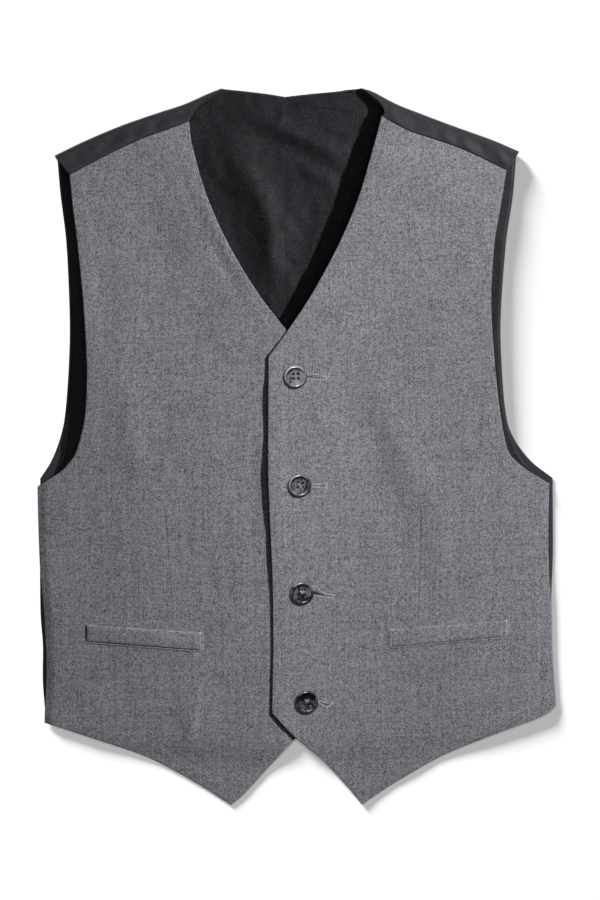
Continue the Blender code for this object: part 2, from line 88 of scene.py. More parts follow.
# Walls and clearances
FRONT_WALL = 1.1  # along the turned edges, where the seam allowances lie inside
FRONT_MIDDLE_WALL = 0.9
ALLOWANCE = 8.0  # width of the seam allowance that shows through as a pressed band
ALLOWANCE_FADE = 3.0
BACK_WALL = 1.0
LINING_WALL = 1.0
SHEER_WALL = 0.45  # of the dressed lining, which has no stiffening
SHEER_RIM = 0.1
BACK_SEAM = 0.06  # half the gap down the middle of the back
LINING_SEAM = 0.07  # and of its lining
LINING_SEAM_PULL = 0.05  # share of the lining's relief that its middle seam takes away
LINING_SEAM_REACH = 1.2
LINING_SEAM_SHARE = 0.0015  # of the width, where the first column stands, so that the edge stays crisp
LINING_RIPPLE = 1.5  # how much stronger the small waves are on the lining
LINING_SOFTNESS = 0.1  # how gently its troughs come to rest on the back
COVERED_BELOW = 60.0  # the fronts press the lining flat below this height
COVERED_WITHIN = 160.0  # and this far from the middle
COVERED_FADE = 12.0
COVERED_RELIEF = 0.4  # what is left of its relief there
SEAM_GAP = 0.3
LAP_GAP = 0.12
FACING_WIDTH = 28.0  # of wool behind the front and neck edges; the rest is lined

# What the fronts lie on
LINING_FLOOR = BACK_WALL + SEAM_GAP
STACK = LINING_FLOOR + LINING_WALL + SEAM_GAP
HEM_DROP_FROM = 5.0
HEM_DROP = 22.0
SIDE_EASE = 6.0
SOFT_FLOOR = 0.2  # how gently a trough comes to rest on the layer below it

# Lap of the left front over the right
LAP_STEP = FRONT_WALL + LAP_GAP
LAP_HALF = 20.0
LAP_FULL_TO = 21.0
LAP_RAMP = 44.0
LAP_FADE_FROM = 85.0
LAP_FADE_TO = 128.0
LIFT_REACH = 16.0

# Shoulder fold of the back
NECK_ROLL = 3.5
ARM_ROLL = 3.5
ROLL_REACH = 0.9  # of the hollow inside the roll, how far in a lining may lie
NECK_SWING_FADE = 7

# Insets of the back lining from the edges of the back
LINING_EDGE_INSET = 1.2
LINING_CLIMB = 0.88  # how far the lining goes up the roll at the neck, as a share of the roll
LINING_CLIMB_SPAN = 0.2  # and the share of the shoulder that it does so on
LINING_SIDE_INSET = 8.0
LINING_HEM_INSET = 9.0

# Buttons
BUTTON_SPAN = 15.4
BUTTON_CENTRES = ((-0.7, 47.3), (2.2, -26.5), (3.7, -99.6), (6.9, -173.4))
SEAT_TURNS = 16
SEAT_RINGS = (0.4, 0.7, 0.95)

# Height of the fronts above what they lie on: across the lap, at mid panel and at the armhole or side
Loft = namedtuple("Loft", "y inner middle outer")
LOFTS = (
    Loft(-244, 0.0, 0.0, 0.0),
    Loft(-200, 0.4, 0.3, 0.0),
    Loft(-160, 0.5, 0.9, 0.0),
    Loft(-100, 0.6, 1.3, 0.0),
    Loft(-26, 0.8, 1.8, 0.0),
    Loft(10, 1.2, 2.0, 3.0),
    Loft(47, 1.7, 2.5, 4.4),
    Loft(80, 4.0, 3.0, 5.2),
    Loft(120, 6.6, 4.0, 5.4),
    Loft(160, 7.4, 4.8, 5.0),
    Loft(200, 6.4, 5.2, 4.2),
    Loft(226, 5.0, 5.0, 4.0),
)

# How far the free edge of the left front stands off the right front, between the buttons
Lift = namedtuple("Lift", "y height")
EDGE_LIFTS = (
    Lift(-215, 0.3),
    Lift(-189, 0.5),
    Lift(-172, 0.1),
    Lift(-140, 0.0),
    Lift(-112, 0.0),
    Lift(-98, 0.3),
    Lift(-84, 0.75),
    Lift(-70, 0.95),
    Lift(-57, 0.85),
    Lift(-46, 1.45),
    Lift(-32, 1.7),
    Lift(-18, 2.0),
    Lift(-2, 1.45),
    Lift(8, 1.0),
    Lift(20, 1.2),
    Lift(38, 1.1),
    Lift(52, 0.35),
    Lift(66, 0.1),
)

# Creases of the cloth, each along a smooth line through its knots; a negative height is a trough. Each end
# dies away over its own share of the length.
Crease = namedtuple("Crease", "knots half_width height")
CREASE_TAPER = 0.35
FRONT_CREASES = (
    # the broad folds that the solids share
    Crease(((-62, 150), (-32, 98)), 7.0, -0.8),
    Crease(((-116, 60), (-110, -30)), 12.0, 0.9),
    Crease(((-134, 132), (-126, 60)), 9.0, -0.6),
    Crease(((-70, -150), (-73, -212)), 8.0, 0.6),
    Crease(((42, 44), (56, -12), (80, -78)), 12.0, -0.8),
    Crease(((60, 46), (76, -12), (96, -62)), 11.0, 0.8),
    Crease(((112, -136), (104, -200)), 10.0, 0.6),
    # right front
    Crease(((-70.5, 184), (-63, 166), (-51.5, 139), (-44.5, 125.5), (-35.5, 111.5), (-26, 99)), 3.6, 0.6),
    Crease(((-98, 190), (-84, 158), (-64, 118)), 11.0, 0.5),
    Crease(((-123, 164), (-120, 142), (-121, 116)), 6.0, 0.45),
    Crease(((-118, 52), (-112, 12), (-106, -24), (-98, -60)), 8.0, 0.35),
    Crease(((-104, 20), (-98, -20), (-90, -52)), 8.0, -0.25),
    Crease(((-60, 40), (-56, -30), (-60, -90)), 13.0, 0.3),
    Crease(((-70, -174), (-72, -192), (-75, -210)), 3.6, 0.45),
    Crease(((-52, -150), (-50, -180), (-58, -214)), 6.0, -0.3),
    Crease(((-150, -126), (-104, -133), (-56, -142)), 12.0, 0.55),
    Crease(((-152, -158), (-112, -166), (-70, -178)), 8.0, -0.3),
    Crease(((-150, -40), (-154, -90), (-150, -150)), 9.0, 0.1),
    Crease(((-136, -34), (-128, -70), (-130, -104)), 8.0, -0.2),
    Crease(((-63.4, -112), (-63.4, -130), (-64, -150)), 2.0, -0.35),
    Crease(((-30, 30), (-27, -40), (-29, -120)), 5.0, -0.25),
    # left front
    Crease(((40, 194), (66, 184), (92, 178), (120, 172)), 15.0, 2.6),
    Crease(((84, 204), (104, 192), (130, 182)), 8.0, 0.5),
    Crease(((64, 168), (92, 158), (126, 150)), 10.0, -0.5),
    Crease(((110, 140), (122, 110), (124, 70)), 10.0, 0.6),
    Crease(((18, 93), (48, 90), (80, 92)), 2.8, -0.3),
    Crease(((50, 70), (58, 30), (72, -6), (90, -44)), 10.0, 1.6),
    Crease(((30, 60), (42, 14), (58, -28), (76, -70), (84, -112)), 9.0, -1.3),
    Crease(((100, -6), (98, -74), (94, -128)), 7.5, 1.1),
    Crease(((117, 10), (121, -30), (116, -72)), 9.0, 0.7),
    Crease(((138, -10), (136, -70), (138, -130)), 9.0, -0.5),
    Crease(((156, -10), (155, -70), (155, -120), (156, -180)), 9.0, 0.9),
    Crease(((56, -144), (100, -133), (146, -124)), 12.0, 0.9),
    Crease(((60, -166), (100, -158), (140, -152)), 8.0, -0.5),
    Crease(((50, -150), (48, -186), (54, -216)), 8.0, 0.4),
)
LINING_CREASES = (
    # the broad fold down the middle, dark on its outer flank
    Crease(((-53, 224), (-38, 192), (-24, 167), (-17, 146), (-17, 128), (-10, 108), (-2, 92)), 12.0, 3.0),
    Crease(((-40, 196), (-25, 169), (-18, 147), (-18, 128), (-11, 108)), 4.2, 0.6),
    Crease(((-58, 196), (-50, 170), (-42, 142), (-28, 114)), 8.0, -0.6),
    # pulls below the neck, from the middle out to the left side
    Crease(((-42, 228), (-30, 225), (-18, 219.5), (2, 211), (26, 200), (44, 189)), 6.2, 1.9),
    Crease(((-24, 222), (-8, 215), (10, 207), (30, 198)), 2.6, 0.35),
    Crease(((-42, 216), (-20, 208), (0, 200), (20, 190), (36, 180)), 4.6, -0.7),
    Crease(((-2, 190), (16, 184), (30, 174)), 4.6, 1.1),
    Crease(((-6, 212), (2, 216.5), (12, 218), (24, 216), (46, 210)), 2.2, 0.5),
    Crease(((-6, 229), (8, 232), (22, 232), (47, 229)), 2.2, 0.6),
    Crease(((-32, 234), (-22, 232), (-11, 229)), 2.0, 0.5),
    Crease(((-10, 229), (-11, 218)), 2.6, 0.7),
    # small folds
    Crease(((-21, 174), (-18, 164)), 3.2, 0.6),
    Crease(((-5, 184), (-3, 164), (-3, 146)), 5.0, 0.45),
    Crease(((-8, 158), (-7, 146)), 3.0, 0.5),
    Crease(((-19, 136), (-16, 126)), 3.4, 0.4),
    Crease(((-7, 127), (-1, 121)), 2.8, -0.6),
    Crease(((-7, 117), (-3, 106)), 3.0, 0.3),
    Crease(((-21, 104), (-16, 96)), 3.0, 0.5),
    Crease(((12, 172), (8, 150), (0, 128)), 5.0, -0.4),
    Crease(((-62, 214), (-58, 196), (-52, 180)), 4.0, 0.5),
    Crease(((-154, 150), (-150, 90), (-149, 30)), 3.0, 0.35),
    Crease(((143, 150), (140, 90), (140, 30)), 3.0, 0.35),
)
SHOULDER_CREASES = (
    Crease(((-152, 205), (-148, 190)), 4.0, -0.6),
    Crease(((-142, 215), (-135, 198)), 4.2, 1.0),
    Crease(((-128, 216), (-124, 202)), 3.4, -0.5),
    Crease(((-120, 220), (-113, 204)), 4.0, 0.9),
    Crease(((-105, 224), (-98, 208)), 4.0, 0.9),
    Crease(((-98, 222), (-93, 210)), 3.0, -0.5),
    Crease(((-90, 229), (-84, 213)), 3.8, 0.8),
    Crease(((-79, 234), (-74, 218)), 3.4, -0.5),
    Crease(((63, 233), (70, 214)), 3.8, 0.7),
    Crease(((78, 228), (82, 212)), 3.4, -0.6),
    Crease(((88, 225), (93, 208)), 3.2, 0.4),
    Crease(((99, 220), (104, 202)), 3.6, 0.8),
    Crease(((112, 214), (117, 197)), 3.6, 0.7),
    Crease(((124, 209), (128, 194)), 3.4, -0.6),
    Crease(((136, 206), (141, 188)), 3.8, 0.9),
)
# Hollows in the underside of the back, where the satin does not touch the table
BACK_HOLLOWS = (
    Crease(((-10, 200), (-8, 60), (-6, -90), (-4, -180)), 3.0, 0.35),
    Crease(((-120, 150), (-60, 128), (-14, 134)), 9.0, 0.4),
    Crease(((110, 156), (56, 140), (2, 132)), 9.0, 0.4),
    Crease(((-150, 60), (-90, 20), (-40, 28)), 8.0, 0.4),
    Crease(((148, 70), (96, 36), (40, 22)), 8.0, 0.4),
    Crease(((-164, -60), (-110, -40), (-60, -52)), 7.0, 0.4),
    Crease(((164, -40), (100, -66), (44, -58)), 7.0, 0.4),
    Crease(((-160, -140), (-100, -120), (-40, -136)), 8.0, 0.35),
    Crease(((158, -128), (96, -146), (40, -130)), 8.0, 0.35),
    Crease(((-90, 210), (-84, 150), (-92, 90)), 7.0, 0.35),
    Crease(((90, 204), (96, 150), (84, 86)), 7.0, 0.35),
    Crease(((-104, -70), (-96, -120), (-108, -176)), 6.0, 0.3),
    Crease(((110, -80), (98, -124), (104, -172)), 6.0, 0.3),
)

# Small waves of the cloth: amplitude, length and the heading of each
Wave = namedtuple("Wave", "height length heading")
WAVES = (
    Wave(0.05, 11.0, 12.0),
    Wave(0.06, 17.0, 96.0),
    Wave(0.07, 26.0, 64.0),
    Wave(0.08, 38.0, 140.0),
    Wave(0.05, 14.0, 31.0),
    Wave(0.09, 57.0, 8.0),
)
WAVE_SEED = 11
WAVE_BEND = 0.35  # how far the crests wind, in wavelengths
WAVE_WINDINGS = 1.7  # how often they do, for each wavelength along them
WAVE_BREAKS = 0.9  # and how often they break off

# Dimple that each button pulls into the cloth, and the rise round it
DIMPLE = 0.4
DIMPLE_RADIUS = 10.0
DIMPLE_RIM = 0.22
DIMPLE_RIM_RADIUS = 17.0
DIMPLE_RIM_SPREAD = 0.4  # of the rise, as a share of its radius

# Waist darts: seam lines from the top point down to the welt
DARTS = {
    "left": ((84.3, -40.0), (83.9, -60.0), (83.2, -83.8), (82.0, -119.5)),
    "right": ((-90.4, -38.6), (-87.8, -67.5), (-86.2, -90.6), (-84.4, -122.5)),
}
DART_DEPTHS = {"left": 0.34, "right": 0.16}  # of the groove along the seam
DART_TOP = 0.6  # how much deeper the groove is at the top
DART_TOP_SPAN = 0.3  # share of the seam on which it is deeper
DART_FADE_IN = 0.1  # shares of the seam on which the groove fades in at the top
DART_FADE_OUT = 0.04  # and out at the welt
DART_HALF_WIDTH = 0.5
DART_LIPS = {"left": 0.42, "right": 0.16}  # height of the ridge that the pressed seam makes beside it
DART_LIP_OFFSET = 0.9  # of that ridge, towards the wearer's left
DART_LIP_HALF_WIDTH = 0.7
DART_COLUMNS = (0.45, 1.1, 2.2, 3.7)  # how far the grid's columns stand from the seam, either side of it
DART_PULL = 34  # columns over which the grid leans over to meet the seam
DART_RUN_IN = 24.0  # length above and below the seam over which it does

# Cut edges of one side of the garment. Each is a smooth curve through its knots, and they meet at corners;
# a welt has its four corners, from the end nearer the buttons. The neck swing is how far the neck edge of
# the shoulder swings out between the fold and the seam.
Cut = namedtuple(
    "Cut",
    "hand side neckline front_edge cutaway hem side_seam armhole shoulder"
    " centre_back back_hem back_side back_armhole back_neck shoulder_fold welt neck_swing",
)
CENTRE_BACK = ((-3.2, -193.3), (-5.0, -60.0), (-7.4, 90.0), (-8.0, 237.9))
LEFT = Cut(
    hand="left",
    side=1,
    neckline=(
        (-19.2, 61.1), (-4.8, 80.8), (11.2, 105.3), (28.7, 137.9), (42.4, 170.5), (52.0, 203.2),
        (57.7, 224.6),
    ),
    front_edge=(
        (-16.6, -181.0), (-16.0, -131.0), (-16.5, -90.6), (-19.3, -25.3), (-19.4, 20.0), (-19.2, 61.1),
    ),
    cutaway=((44.4, -243.2), (34.9, -231.8), (18.6, -214.0), (-1.7, -196.7), (-16.6, -181.0)),
    hem=(
        (44.4, -243.2), (67.5, -228.0), (100.2, -209.5), (132.8, -195.9), (165.4, -183.5),
        (176.0, -176.3),
    ),
    side_seam=(
        (176.0, -176.3), (173.6, -140.0), (172.8, -104.0), (171.3, -75.0), (171.2, -50.0),
        (171.6, -25.1),
    ),
    armhole=(
        (171.6, -25.1), (158.5, -17.1), (148.2, -9.0), (142.9, -0.8), (138.6, 20.0), (134.8, 52.0),
        (131.9, 97.1), (134.1, 137.9), (138.2, 162.4), (142.3, 187.7),
    ),
    shoulder=(
        (57.7, 224.6), (64.0, 220.6), (75.7, 214.5), (92.0, 209.0), (108.3, 203.5), (124.6, 196.4),
        (142.3, 187.7),
    ),
    centre_back=CENTRE_BACK,
    back_hem=((-3.2, -193.3), (60.0, -190.5), (130.0, -182.0), (174.3, -174.2)),
    back_side=((174.3, -174.2), (172.8, -130.0), (173.2, -98.0), (174.2, -70.0), (174.0, -21.2)),
    back_armhole=(
        (174.0, -21.2), (158.6, -9.0), (146.8, 7.3), (142.0, 23.7), (139.3, 56.3), (138.7, 89.0),
        (142.2, 137.9), (146.9, 170.5), (149.2, 197.0),
    ),
    back_neck=((-8.0, 237.9), (10.4, 240.0), (26.7, 241.5), (34.4, 242.7)),
    shoulder_fold=(
        (43.6, 243.7), (52.0, 241.0), (67.5, 232.9), (83.8, 226.4), (108.3, 217.2), (132.8, 208.4),
        (151.2, 200.5),
    ),
    welt=((62.0, -137.6), (144.7, -130.2), (62.4, -124.2), (144.7, -117.8)),
    neck_swing=7.5,
)
RIGHT = Cut(
    hand="right",
    side=-1,
    neckline=(
        (17.2, 46.8), (-8.4, 80.8), (-27.0, 105.3), (-46.6, 137.9), (-61.1, 170.5), (-70.6, 203.2),
        (-73.2, 220.9),
    ),
    front_edge=((19.2, -177.6), (18.6, -100.0), (17.6, -30.0), (17.2, 46.8)),
    cutaway=((-44.7, -243.6), (-35.8, -236.2), (-19.5, -218.4), (-3.2, -200.6), (19.2, -177.6)),
    hem=(
        (-44.7, -243.6), (-68.5, -228.5), (-101.1, -211.1), (-133.8, -199.6), (-160.0, -191.0),
        (-171.4, -187.5),
    ),
    side_seam=(
        (-171.4, -187.5), (-170.0, -150.0), (-171.6, -115.0), (-174.4, -84.0), (-175.6, -50.0),
        (-175.8, -27.1),
    ),
    armhole=(
        (-175.8, -27.1), (-160.7, -17.1), (-153.2, -9.0), (-148.9, -0.8), (-144.0, 20.0),
        (-142.4, 52.0), (-144.8, 97.1), (-148.8, 137.9), (-151.8, 162.4), (-154.2, 184.8),
    ),
    shoulder=(
        (-73.2, 220.9), (-84.8, 216.3), (-101.1, 210.6), (-117.4, 203.6), (-133.8, 195.4),
        (-154.2, 184.8),
    ),
    centre_back=CENTRE_BACK,
    back_hem=((-3.2, -193.3), (-70.0, -191.5), (-130.0, -187.6), (-170.5, -185.1)),
    back_side=(
        (-170.5, -185.1), (-172.6, -160.0), (-172.6, -135.0), (-174.2, -112.0), (-174.6, -70.0),
        (-174.4, -21.7),
    ),
    back_armhole=(
        (-174.4, -21.7), (-166.5, -9.0), (-160.4, 7.3), (-157.3, 23.7), (-154.9, 56.3), (-154.4, 89.0),
        (-156.6, 137.9), (-160.5, 170.5), (-162.6, 194.4),
    ),
    back_neck=((-8.0, 237.9), (-19.5, 239.8), (-35.8, 241.8), (-41.6, 242.4)),
    shoulder_fold=(
        (-50.8, 243.5), (-60.3, 239.8), (-76.6, 232.6), (-93.0, 227.2), (-117.4, 218.8),
        (-141.9, 208.6), (-164.6, 197.7),
    ),
    welt=((-63.2, -140.0), (-142.5, -133.8), (-63.2, -126.4), (-142.5, -120.9)),
    neck_swing=5.0,
)

# Grid counts
FRONT_COLUMNS = 112
BACK_COLUMNS = 80
LINING_COLUMNS = 92
CURVE_STEPS = 24
EDGE_STEPS = 400
NEAR_EDGE_STEPS = 60
NEAR_DART_STEPS = 40
CREASE_STEPS = 5  # for each knot
ROLL_STEPS = 20
FLAP_ROWS = 16
RIM_STEPS = 6

# Rows of grid cells up each long edge: so many, up to this share of the edge's length
Rows = namedtuple("Rows", "edge share count")
FRONT_INNER_ROWS = (Rows("cutaway", 1.0, 64), Rows("front_edge", 1.0, 116), Rows("neckline", 1.0, 108))
FRONT_OUTER_ROWS = (Rows("side_seam", 1.0, 124), Rows("armhole", 0.2, 44), Rows("armhole", 1.0, 120))
BACK_INNER_ROWS = (
    Rows("centre_back", 0.6, 90),
    Rows("centre_back", 1.0, 110),
    Rows("back_neck", 0.7, 20),
    Rows("back_neck", 1.0, 20),
)
BACK_OUTER_ROWS = (
    Rows("back_side", 1.0, 60),
    Rows("back_armhole", 0.3, 30),
    Rows("back_armhole", 0.8, 110),
    Rows("back_armhole", 1.0, 40),
)
NECK_ROWS_FROM = 200  # the row at which the centre back ends and the neck begins
LINING_EASE_ROWS = 21
HOLLOW_EASE_ROWS = 12.0  # rows and columns inside the borders over which the back's hollows grow
HOLLOW_EASE_COLUMNS = 3.0
HOLLOW_FILL = 0.8  # share of a hollow that a thinner wall makes up above it
SHARPEST_TURN = 0.6  # limit of the lengthening of a border's outward directions at corners

TURNED_EDGES = ("neckline", "front_edge", "cutaway", "hem", "armhole")
FACED_EDGES = ("neckline", "front_edge", "cutaway")


def ease(t):
    """A smooth step from 0 to 1."""
    t = np.clip(t, 0.0, 1.0)
    return t * t * (3.0 - 2.0 * t)


def resting(height, softness):
    """A height that comes to rest on 0 instead of going below it, more gently with a greater softness."""
    return 0.5 * (height + np.sqrt(height**2 + softness**2))


def smooth_curve(knots):
    """A function of 0 to 1 that runs at even speed along a smooth curve through the knots."""
    knots = np.array(knots, float)
    before = 2 * knots[0] - knots[1]
    after = 2 * knots[-1] - knots[-2]
    run_of_knots = np.vstack([before, knots, after])
    t = np.linspace(0.0, 1.0, CURVE_STEPS, endpoint=False)[:, None]
    stretches = []
    for a, b, c, d in zip(run_of_knots, run_of_knots[1:], run_of_knots[2:], run_of_knots[3:]):
        bend = (2 * a - 5 * b + 4 * c - d) * t**2 + (3 * b - a - 3 * c + d) * t**3
        stretches.append(0.5 * (2 * b + (c - a) * t + bend))
    fine = np.vstack(stretches + [knots[-1:]])
    steps = np.linalg.norm(np.diff(fine, axis=0), axis=1)
    share = np.concatenate([[0.0], np.cumsum(steps)]) / steps.sum()

    def at(where):
        axes = range(fine.shape[1])
        return np.stack([np.interp(where, share, fine[:, axis]) for axis in axes], axis=-1)

    return at


def long_edge(cut, rows):
    """Points up a long edge, from the hem to the shoulder, one for each row of the grid."""
    points = [np.array(getattr(cut, rows[0].edge)[0])]
    reached = 0.0
    for stretch in rows:
        along = smooth_curve(getattr(cut, stretch.edge))
        start = reached if reached < 1.0 else 0.0
        points.extend(along(np.linspace(start, stretch.share, stretch.count + 1)[1:]))
        reached = stretch.share
    return np.array(points)


def stretched_grid(inner, outer, bottom, top, shares):
    """The grid of plan points between four edges; the last axis is (x, y)."""
    u = shares[None, :, None]
    v = np.linspace(0.0, 1.0, len(inner))[:, None, None]
    low, high = bottom[None], top[None]
    across = (1 - u) * inner[:, None] + u * outer[:, None]
    along = (1 - v) * low + v * high
    low_line = (1 - u) * low[:, :1] + u * low[:, -1:]
    high_line = (1 - u) * high[:, :1] + u * high[:, -1:]
    return across + along - (1 - v) * low_line - v * high_line


def table_at(table, column, y):
    """A column of a table whose rows rise in y, read smoothly at the given heights."""
    keys = np.array([row.y for row in table], float)
    values = np.array([getattr(row, column) for row in table])
    place = np.clip(np.searchsorted(keys, y) - 1, 0, len(keys) - 2)
    share = ease((y - keys[place]) / (keys[place + 1] - keys[place]))
    return values[place] * (1 - share) + values[place + 1] * share


def edge_x(knots, y):
    """Where a long edge lies at the height y."""
    fine = smooth_curve(knots)(np.linspace(0.0, 1.0, EDGE_STEPS))
    order = np.argsort(fine[:, 1])
    return np.interp(y, fine[order, 1], fine[order, 0])


def edge_y(knots, x):
    """Where a hem lies at the place x."""
    fine = smooth_curve(knots)(np.linspace(0.0, 1.0, EDGE_STEPS))
    order = np.argsort(fine[:, 0])
    return np.interp(x, fine[order, 0], fine[order, 1])


def distance_to(knots, x, y, steps):
    """How far plan points lie from a smooth line, and at which share of its length."""
    shares = np.linspace(0.0, 1.0, steps)
    line = smooth_curve(knots)(shares)
    nearest = np.full(x.shape, np.inf)
    where = np.zeros(x.shape)
    for (x0, y0), (x1, y1), share in zip(line, line[1:], shares):
        dx, dy = x1 - x0, y1 - y0
        t = ((x - x0) * dx + (y - y0) * dy) / (dx * dx + dy * dy)
        t = np.clip(t, 0.0, 1.0)
        squared = (x - x0 - t * dx) ** 2 + (y - y0 - t * dy) ** 2
        closer = squared < nearest
        nearest = np.where(closer, squared, nearest)
        where = np.where(closer, share + t * (shares[1] - shares[0]), where)
    return np.sqrt(nearest), where


def from_edges(cut, edges, x, y):
    """How far plan points lie from the nearest of some cut edges."""
    nearest = np.full(x.shape, np.inf)
    for edge in edges:
        nearest = np.minimum(nearest, distance_to(getattr(cut, edge), x, y, NEAR_EDGE_STEPS)[0])
    return nearest


def creased(creases, x, y, depth=1.0):
    """Height that a table of creases adds at plan points."""
    total = np.zeros(np.shape(x))
    for crease in creases:
        off, along = distance_to(crease.knots, x, y, CREASE_STEPS * len(crease.knots))
        taper = ease(along / CREASE_TAPER) * ease((1.0 - along) / CREASE_TAPER)
        total += crease.height * taper * np.exp(-((off / crease.half_width) ** 2))
    return total * depth


def rippled(x, y):
    """Small uneven waves, so that no stretch of cloth is quite flat."""
    chance = np.random.default_rng(WAVE_SEED)
    total = np.zeros(np.shape(x))
    for wave in WAVES:
        heading = math.radians(wave.heading)
        along = (x * math.cos(heading) + y * math.sin(heading)) / wave.length
        across = (y * math.cos(heading) - x * math.sin(heading)) / wave.length
        start, sway = chance.uniform(0.0, 2 * math.pi, 2)
        bent = along + WAVE_BEND * np.sin(WAVE_WINDINGS * across + sway)
        crests = np.sin(2 * math.pi * bent + start)
        total += wave.height * crests * np.cos(WAVE_BREAKS * across + sway)
    return total


def dimpled(x, y):
    """The pull of each button on the cloth round it."""
    total = np.zeros(np.shape(x))
    for centre_x, centre_y in BUTTON_CENTRES:
        away = np.hypot(x - centre_x, y - centre_y)
        total -= DIMPLE * np.exp(-((away / DIMPLE_RADIUS) ** 2))
        off_rim = (away - DIMPLE_RIM_RADIUS) / (DIMPLE_RIM_SPREAD * DIMPLE_RIM_RADIUS)
        total += DIMPLE_RIM * np.exp(-(off_rim**2))
    return total


def rest_height(cut, x, y):
    """Height of what a front lies on: the back and its lining, then the table past the back's hem."""
    past_hem = edge_y(cut.back_hem, x) - y
    rest = STACK * (1.0 - ease((past_hem - HEM_DROP_FROM) / HEM_DROP))
    seam_x = edge_x(cut.side_seam, np.minimum(y, cut.armhole[0][1]))
    at_side = 1.0 - ease(cut.side * (seam_x - x) / SIDE_EASE)
    return rest - np.minimum(rest, STACK - LINING_FLOOR) * at_side


def loft_height(cut, x, y):
    """How far a front stands off what it lies on."""
    inner = np.maximum(cut.side * edge_x(cut.neckline, y), LAP_HALF)
    below_arm = y < cut.armhole[0][1]
    outer = cut.side * np.where(below_arm, edge_x(cut.side_seam, y), edge_x(cut.armhole, y))
    across = 2.0 * np.clip((cut.side * x - inner) / (outer - inner), 0.0, 1.0)
    near = table_at(LOFTS, "inner", y)
    middle = table_at(LOFTS, "middle", y)
    far = table_at(LOFTS, "outer", y)
    return np.where(
        across < 1.0,
        near + (middle - near) * ease(across),
        middle + (far - middle) * ease(across - 1.0),
    )


def lap_height(x, y):
    """The step of the left front up onto the right one, and the lift of its free edge."""
    across = ease((LAP_FULL_TO + LAP_RAMP - x) / LAP_RAMP)
    upwards = ease((LAP_FADE_TO - y) / (LAP_FADE_TO - LAP_FADE_FROM))
    in_cutaway = y < LEFT.front_edge[0][1]
    edge = np.where(in_cutaway, edge_x(LEFT.cutaway, y), edge_x(LEFT.front_edge, y))
    lift = table_at(EDGE_LIFTS, "height", y) * (1.0 - ease((x - edge) / LIFT_REACH))
    return LAP_STEP * across * upwards + lift


def front_underside(cut, x, y):
    """Height of a front's underside over the plan."""
    relief = creased(FRONT_CREASES, x, y, cloth_sizes().crease_depth)
    stand = loft_height(cut, x, y) + relief + rippled(x, y) + dimpled(x, y)
    height = rest_height(cut, x, y) + resting(stand, SOFT_FLOOR)
    if cut is LEFT:
        height = height + lap_height(x, y)
    return height


def raised(plan, height):
    """Plan points with a height each; the last axis is (x, y, z)."""
    return np.concatenate([plan, np.broadcast_to(height, plan.shape[:-1])[..., None]], axis=-1)


class Shoulder:
    """The shoulder of one side: the fold line of the back, its roll, and the way forward to the seam."""

    def __init__(self, cut, shares):
        self.fold = smooth_curve(cut.shoulder_fold)(shares)
        self.seam = smooth_curve(cut.shoulder)(shares)
        self.radius = NECK_ROLL + (ARM_ROLL - NECK_ROLL) * shares
        at_neck = np.array(cut.back_neck[-1]) - self.fold[0]
        at_arm = np.array(cut.back_armhole[-1]) - self.fold[-1]
        self.to_floor = at_neck + (at_arm - at_neck) * shares[:, None]
        line = self.fold[-1] - self.fold[0]
        line /= np.linalg.norm(line)
        self.square = cut.side * np.array([line[1], -line[0]])
        self.depth = (self.seam - self.fold) @ self.square
        self.roll_share = self.radius / self.depth
        self.swing = line * (cut.neck_swing * (1.0 - shares) ** NECK_SWING_FADE)[:, None]
        self.top = front_underside(cut, self.seam[:, 0], self.seam[:, 1]) + FRONT_WALL

    def floor_row(self, share):
        """Plan points between the fold (0) and the line where the roll leaves the floor (1)."""
        return self.fold + self.to_floor * share

    def climb(self, plan):
        """How high the inner face of the roll carries a lining that lies on it."""
        past = ((self.floor_row(1.0) - plan) @ self.square) / (self.to_floor @ self.square)
        hollow = self.radius - LINING_FLOOR
        reach = np.clip(past * self.radius, 0.0, ROLL_REACH * hollow)
        return hollow - np.sqrt(hollow**2 - reach**2)

    def top_row(self, share):
        """Plan points between the fold (0) and the shoulder seam (1), on the upper layer."""
        share = np.broadcast_to(share, self.depth.shape)[:, None]
        return self.fold + (self.seam - self.fold) * share + self.swing * 4.0 * share * (1.0 - share)


def loop_of(rows, columns):
    """Grid indices round the border, turning the way the faces do."""
    bottom = [(0, column) for column in range(columns)]
    outer = [(row, columns - 1) for row in range(1, rows)]
    top = [(rows - 1, column) for column in range(columns - 2, -1, -1)]
    inner = [(row, 0) for row in range(rows - 2, 0, -1)]
    return np.array(bottom + outer + top + inner)


def outward(points, normals):
    """The direction out of the cloth at each point of its border, longer at corners to keep the width."""
    ahead = np.roll(points, -1, axis=0) - points
    steps = ahead / np.linalg.norm(ahead, axis=1, keepdims=True)
    out_ahead = np.cross(steps, normals)
    out_behind = np.cross(np.roll(steps, 1, axis=0), normals)
    turn = 1.0 + np.sum(out_ahead * out_behind, axis=1, keepdims=True)
    return (out_ahead + out_behind) / np.maximum(turn, SHARPEST_TURN)


def linked(name, data):
    """An object of the scene that carries a mesh, a curve, a light or a camera."""
    thing = bpy.data.objects.new(name, data)
    bpy.context.scene.collection.objects.link(thing)
    return thing


def mesh_of(name, shape):
    """The mesh of a bmesh, which is freed."""
    mesh = bpy.data.meshes.new(name)
    shape.to_mesh(mesh)
    shape.free()
    return mesh


def mesh_made_by(carrier):
    """The mesh that an object's modifiers or curve make; the object is removed."""
    bpy.context.view_layer.update()
    graph = bpy.context.evaluated_depsgraph_get()
    mesh = bpy.data.meshes.new_from_object(carrier.evaluated_get(graph))
    bpy.data.objects.remove(carrier)
    return mesh


